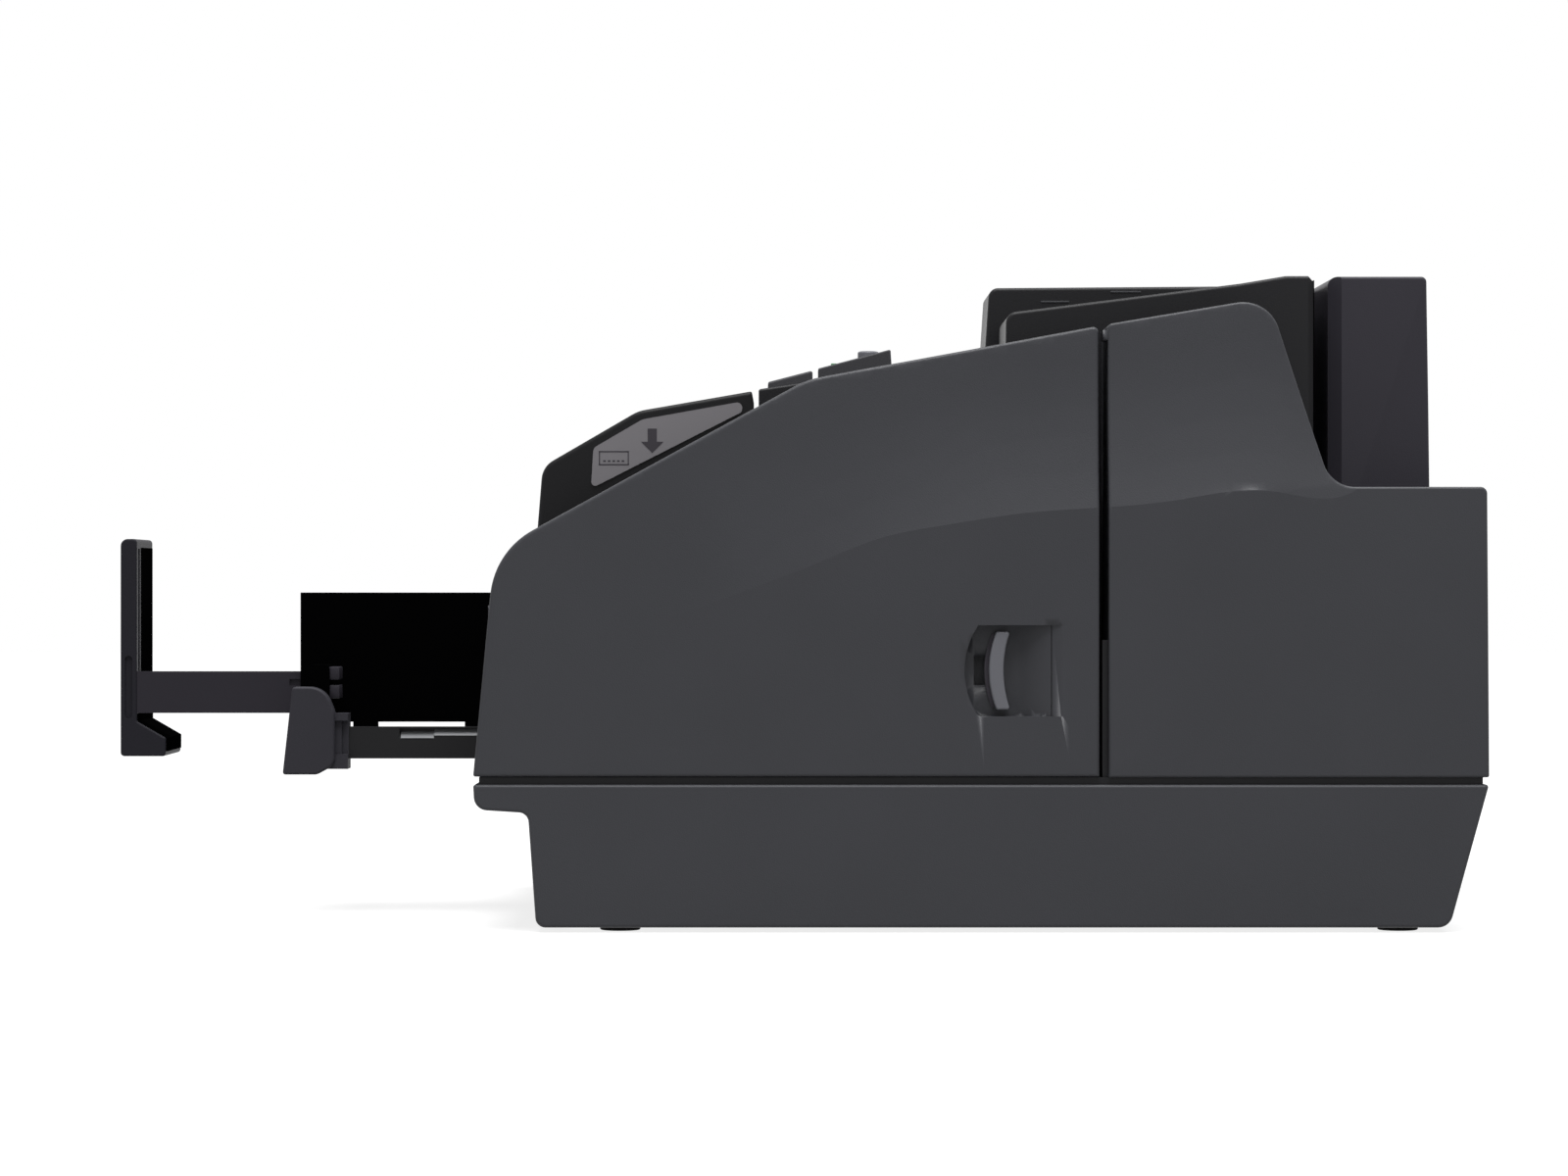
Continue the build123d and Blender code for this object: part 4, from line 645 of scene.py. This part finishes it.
cheque = (-56.2, 138.5, -47.1, 142.8)
line = 0.35
mark_inset, mark_pitch, mark_width = 1.3, 1.4, 0.8
mark_low, mark_high = 1.0, 1.5           # above the cheque's lower edge
bar("cheque_sign_bottom", cheque[0], cheque[1], cheque[2], cheque[1] + line)
bar("cheque_sign_top", cheque[0], cheque[3] - line, cheque[2], cheque[3])
bar("cheque_sign_left", cheque[0], cheque[1], cheque[0] + line, cheque[3])
bar("cheque_sign_right", cheque[2] - line, cheque[1], cheque[2], cheque[3])
for i in range(5):
    start = cheque[0] + mark_inset + i * mark_pitch
    bar(f"cheque_sign_mark_{i}", start, cheque[1] + mark_low, start + mark_width,
        cheque[1] + mark_high)
printed("load_arrow", [(-40.0, 142.2), (-36.6, 145.6), (-38.6, 145.6), (-38.6, 149.6),
                       (-41.4, 149.6), (-41.4, 145.6), (-43.4, 145.6)])

# %% [markdown]
# ## Small pieces, painted shade and painted highlights
# A few parts are too small or too thin for solids of their own: the grey ribs of the small
# stopper's pad, the moulded lips of the far side's louvres and the sign on the power button. The
# other thin pieces are painted light: black sheets on the back and foot of the large stopper and on
# a wall of the turning slot are painted shade, as are the black strips in the louvre slits, and a
# light film on the ledge in the small stopper arm's channel and two light marks near the upper edge
# of the cartridge lid are painted highlights.


# %% Small pieces
def block(name, x, y, z, material, body, edge=0.0002):
    """A small block between limits in millimetres, with bevelled edges."""
    shape = bmesh.new()
    bmesh.ops.create_cube(shape, size=1.0)
    size = [(high - low) / 1000 for low, high in (x, y, z)]
    middle_point = [(high + low) / 2000 for low, high in (x, y, z)]
    bmesh.ops.scale(shape, vec=size, verts=shape.verts)
    bmesh.ops.translate(shape, vec=middle_point, verts=shape.verts)
    bmesh.ops.bevel(shape, geom=list(shape.edges), offset=min(edge, min(size) * 0.3),
                    offset_type="OFFSET", segments=2, profile=0.5, affect="EDGES",
                    clamp_overlap=True, material=-1)
    return placed(name, shape, material, body)


def prism(name, outline, start, end, material, body, along="X"):
    """A bar with the same section all along: (y, z) points along X, or (x, z) along Y."""
    shape = bmesh.new()
    if along == "X":
        corners = [shape.verts.new((start / 1000, u / 1000, v / 1000)) for u, v in outline]
        shift = ((end - start) / 1000, 0, 0)
    else:
        corners = [shape.verts.new((u / 1000, start / 1000, v / 1000)) for u, v in outline]
        shift = (0, (end - start) / 1000, 0)
    face = shape.faces.new(corners)
    swept = bmesh.ops.extrude_face_region(shape, geom=[face])
    moved = [g for g in swept["geom"] if isinstance(g, bmesh.types.BMVert)]
    bmesh.ops.translate(shape, vec=shift, verts=moved)
    bmesh.ops.recalc_face_normals(shape, faces=shape.faces)
    return placed(name, shape, material, body)


low, high = (corner * 1000 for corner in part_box("main_stopper"))
back = low.y + 5.1                       # rear face of the upright part
# black sheets on the back of the upright and over the foot: painted shade on the side that faces
# the machine
back_shade_sheet = block("stopper_back_shade", (low.x + 0.2, high.x - 9.6), (back - 1.2, back + 0.15),
               (62.0, high.z - 2.6), black_plastic_and_shade, "long_stop")
skin = 0.3
foot_shade_sheet = prism("stopper_foot_shade", [(back + skin, 62.0), (back + skin, 59.7),
                                      (high.y + skin, 54.5), (high.y + skin, 50.2),
                                      (high.y - skin, 50.2), (high.y - skin, 53.9),
                                      (back - skin, 59.1), (back - skin, 62.0)],
                 low.x + 0.2, high.x - 0.9, black_plastic_and_shade, "long_stop")
low, high = (corner * 1000 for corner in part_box("sub_stopper_arm"))
channel_start = low.y + 15.7                 # where the channel begins
# a light film on the sloped ledge of the channel: painted highlight where the overhead light
# catches it
for i, (start, end, level) in enumerate(((0.3, 10.6, 54.85), (10.6, 28.9, 55.65))):
    highlight_piece = prism(f"arm_ledge_highlight_{i}", [(high.x - 0.05, level), (high.x - 1.85, level + 1.9),
                                          (high.x - 1.74, level + 2.0),
                                          (high.x + 0.06, level + 0.1)],
                       channel_start + start, channel_start + end, ledge_highlight_film, "short_stop", "Y")
low, high = (corner * 1000 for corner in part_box("rear_block"))
# a black sheet on the rear block's face in the turning slot: painted shade of the deep slot
slot_shade_sheet = block("slot_painted_shade", (-60.0, high.x - 3.4), (low.y - 0.18, low.y + 0.1),
              (131.4, high.z - 0.9), black_plastic_and_shade, "chassis", 0.00005)
low, high = (corner * 1000 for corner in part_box("sub_stopper_pad"))
for i, (rib_low, rib_high) in enumerate(((67.3, 71.1), (73.0, 76.7))):
    rib = block(f"pad_rib_{i}", (low.x + 1.8, high.x - 0.65), (high.y - 3.2, high.y + 0.15),
                (rib_low - 0.15, rib_high + 0.15), arm_plastic, "short_stop", 0.0004)
low, high = (corner * 1000 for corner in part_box("cartridge_cover"))
# two marks lighter than the lid near its upper edge: painted highlights of two round tops
for i, (y0, y1, z) in enumerate(((80.4, 89.3, 190.5), (102.2, 111.7, 193.6))):
    mark = block(f"lid_highlight_mark_{i}", (high.x - 0.3, high.x + 0.25), (y0, y1), (z, z + 0.55),
                 bracket_plastic, "cartridge_lid", 0.0001)
# louvres of the far side: a black strip, the painted shade inside a slit, over a small moulded lip
far_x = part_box("left_casing")[0].x * 1000
louvres, lowest_slit, louvre_run = 7, 62.0, (-20.0, 62.0)
slit, pitch, proud, sunk = 1.6, 4.6, 0.25, 0.3
for i in range(louvres):
    z = lowest_slit + i * pitch
    dark = block(f"far_slit_shade_{i}", (far_x - 0.06, far_x + sunk), louvre_run, (z, z + slit),
                 black_plastic_and_shade, "chassis", 0.00002)
    lip = block(f"far_lip_{i}", (far_x - proud, far_x + sunk), louvre_run, (z - 0.9, z),
                block_plastic, "chassis", 0.0001)
# a ring and a bar, six hundredths of a millimetre proud of the power button
low, high = (corner * 1000 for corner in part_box("power_button"))
key_middle = ((low.x + high.x) / 2, (low.y + high.y) / 2)
sign_span = (high.z - 0.1, high.z + 0.06)
ring_in, ring_out, bar_half_width, bar_half_length = 1.9, 2.3, 0.2, 1.1
turned("power_sign_ring", [(ring_in, sign_span[0]), (ring_out, sign_span[0]),
                           (ring_out, sign_span[1]), (ring_in, sign_span[1])],
       (key_middle[0] / 1000, key_middle[1] / 1000), label_ink, "power_key", 40)
block("power_sign_bar", (key_middle[0] - bar_half_width, key_middle[0] + bar_half_width),
      (key_middle[1] - bar_half_length, key_middle[1] + bar_half_length), sign_span, label_ink,
      "power_key", 0.00003)
print("small pieces are in")
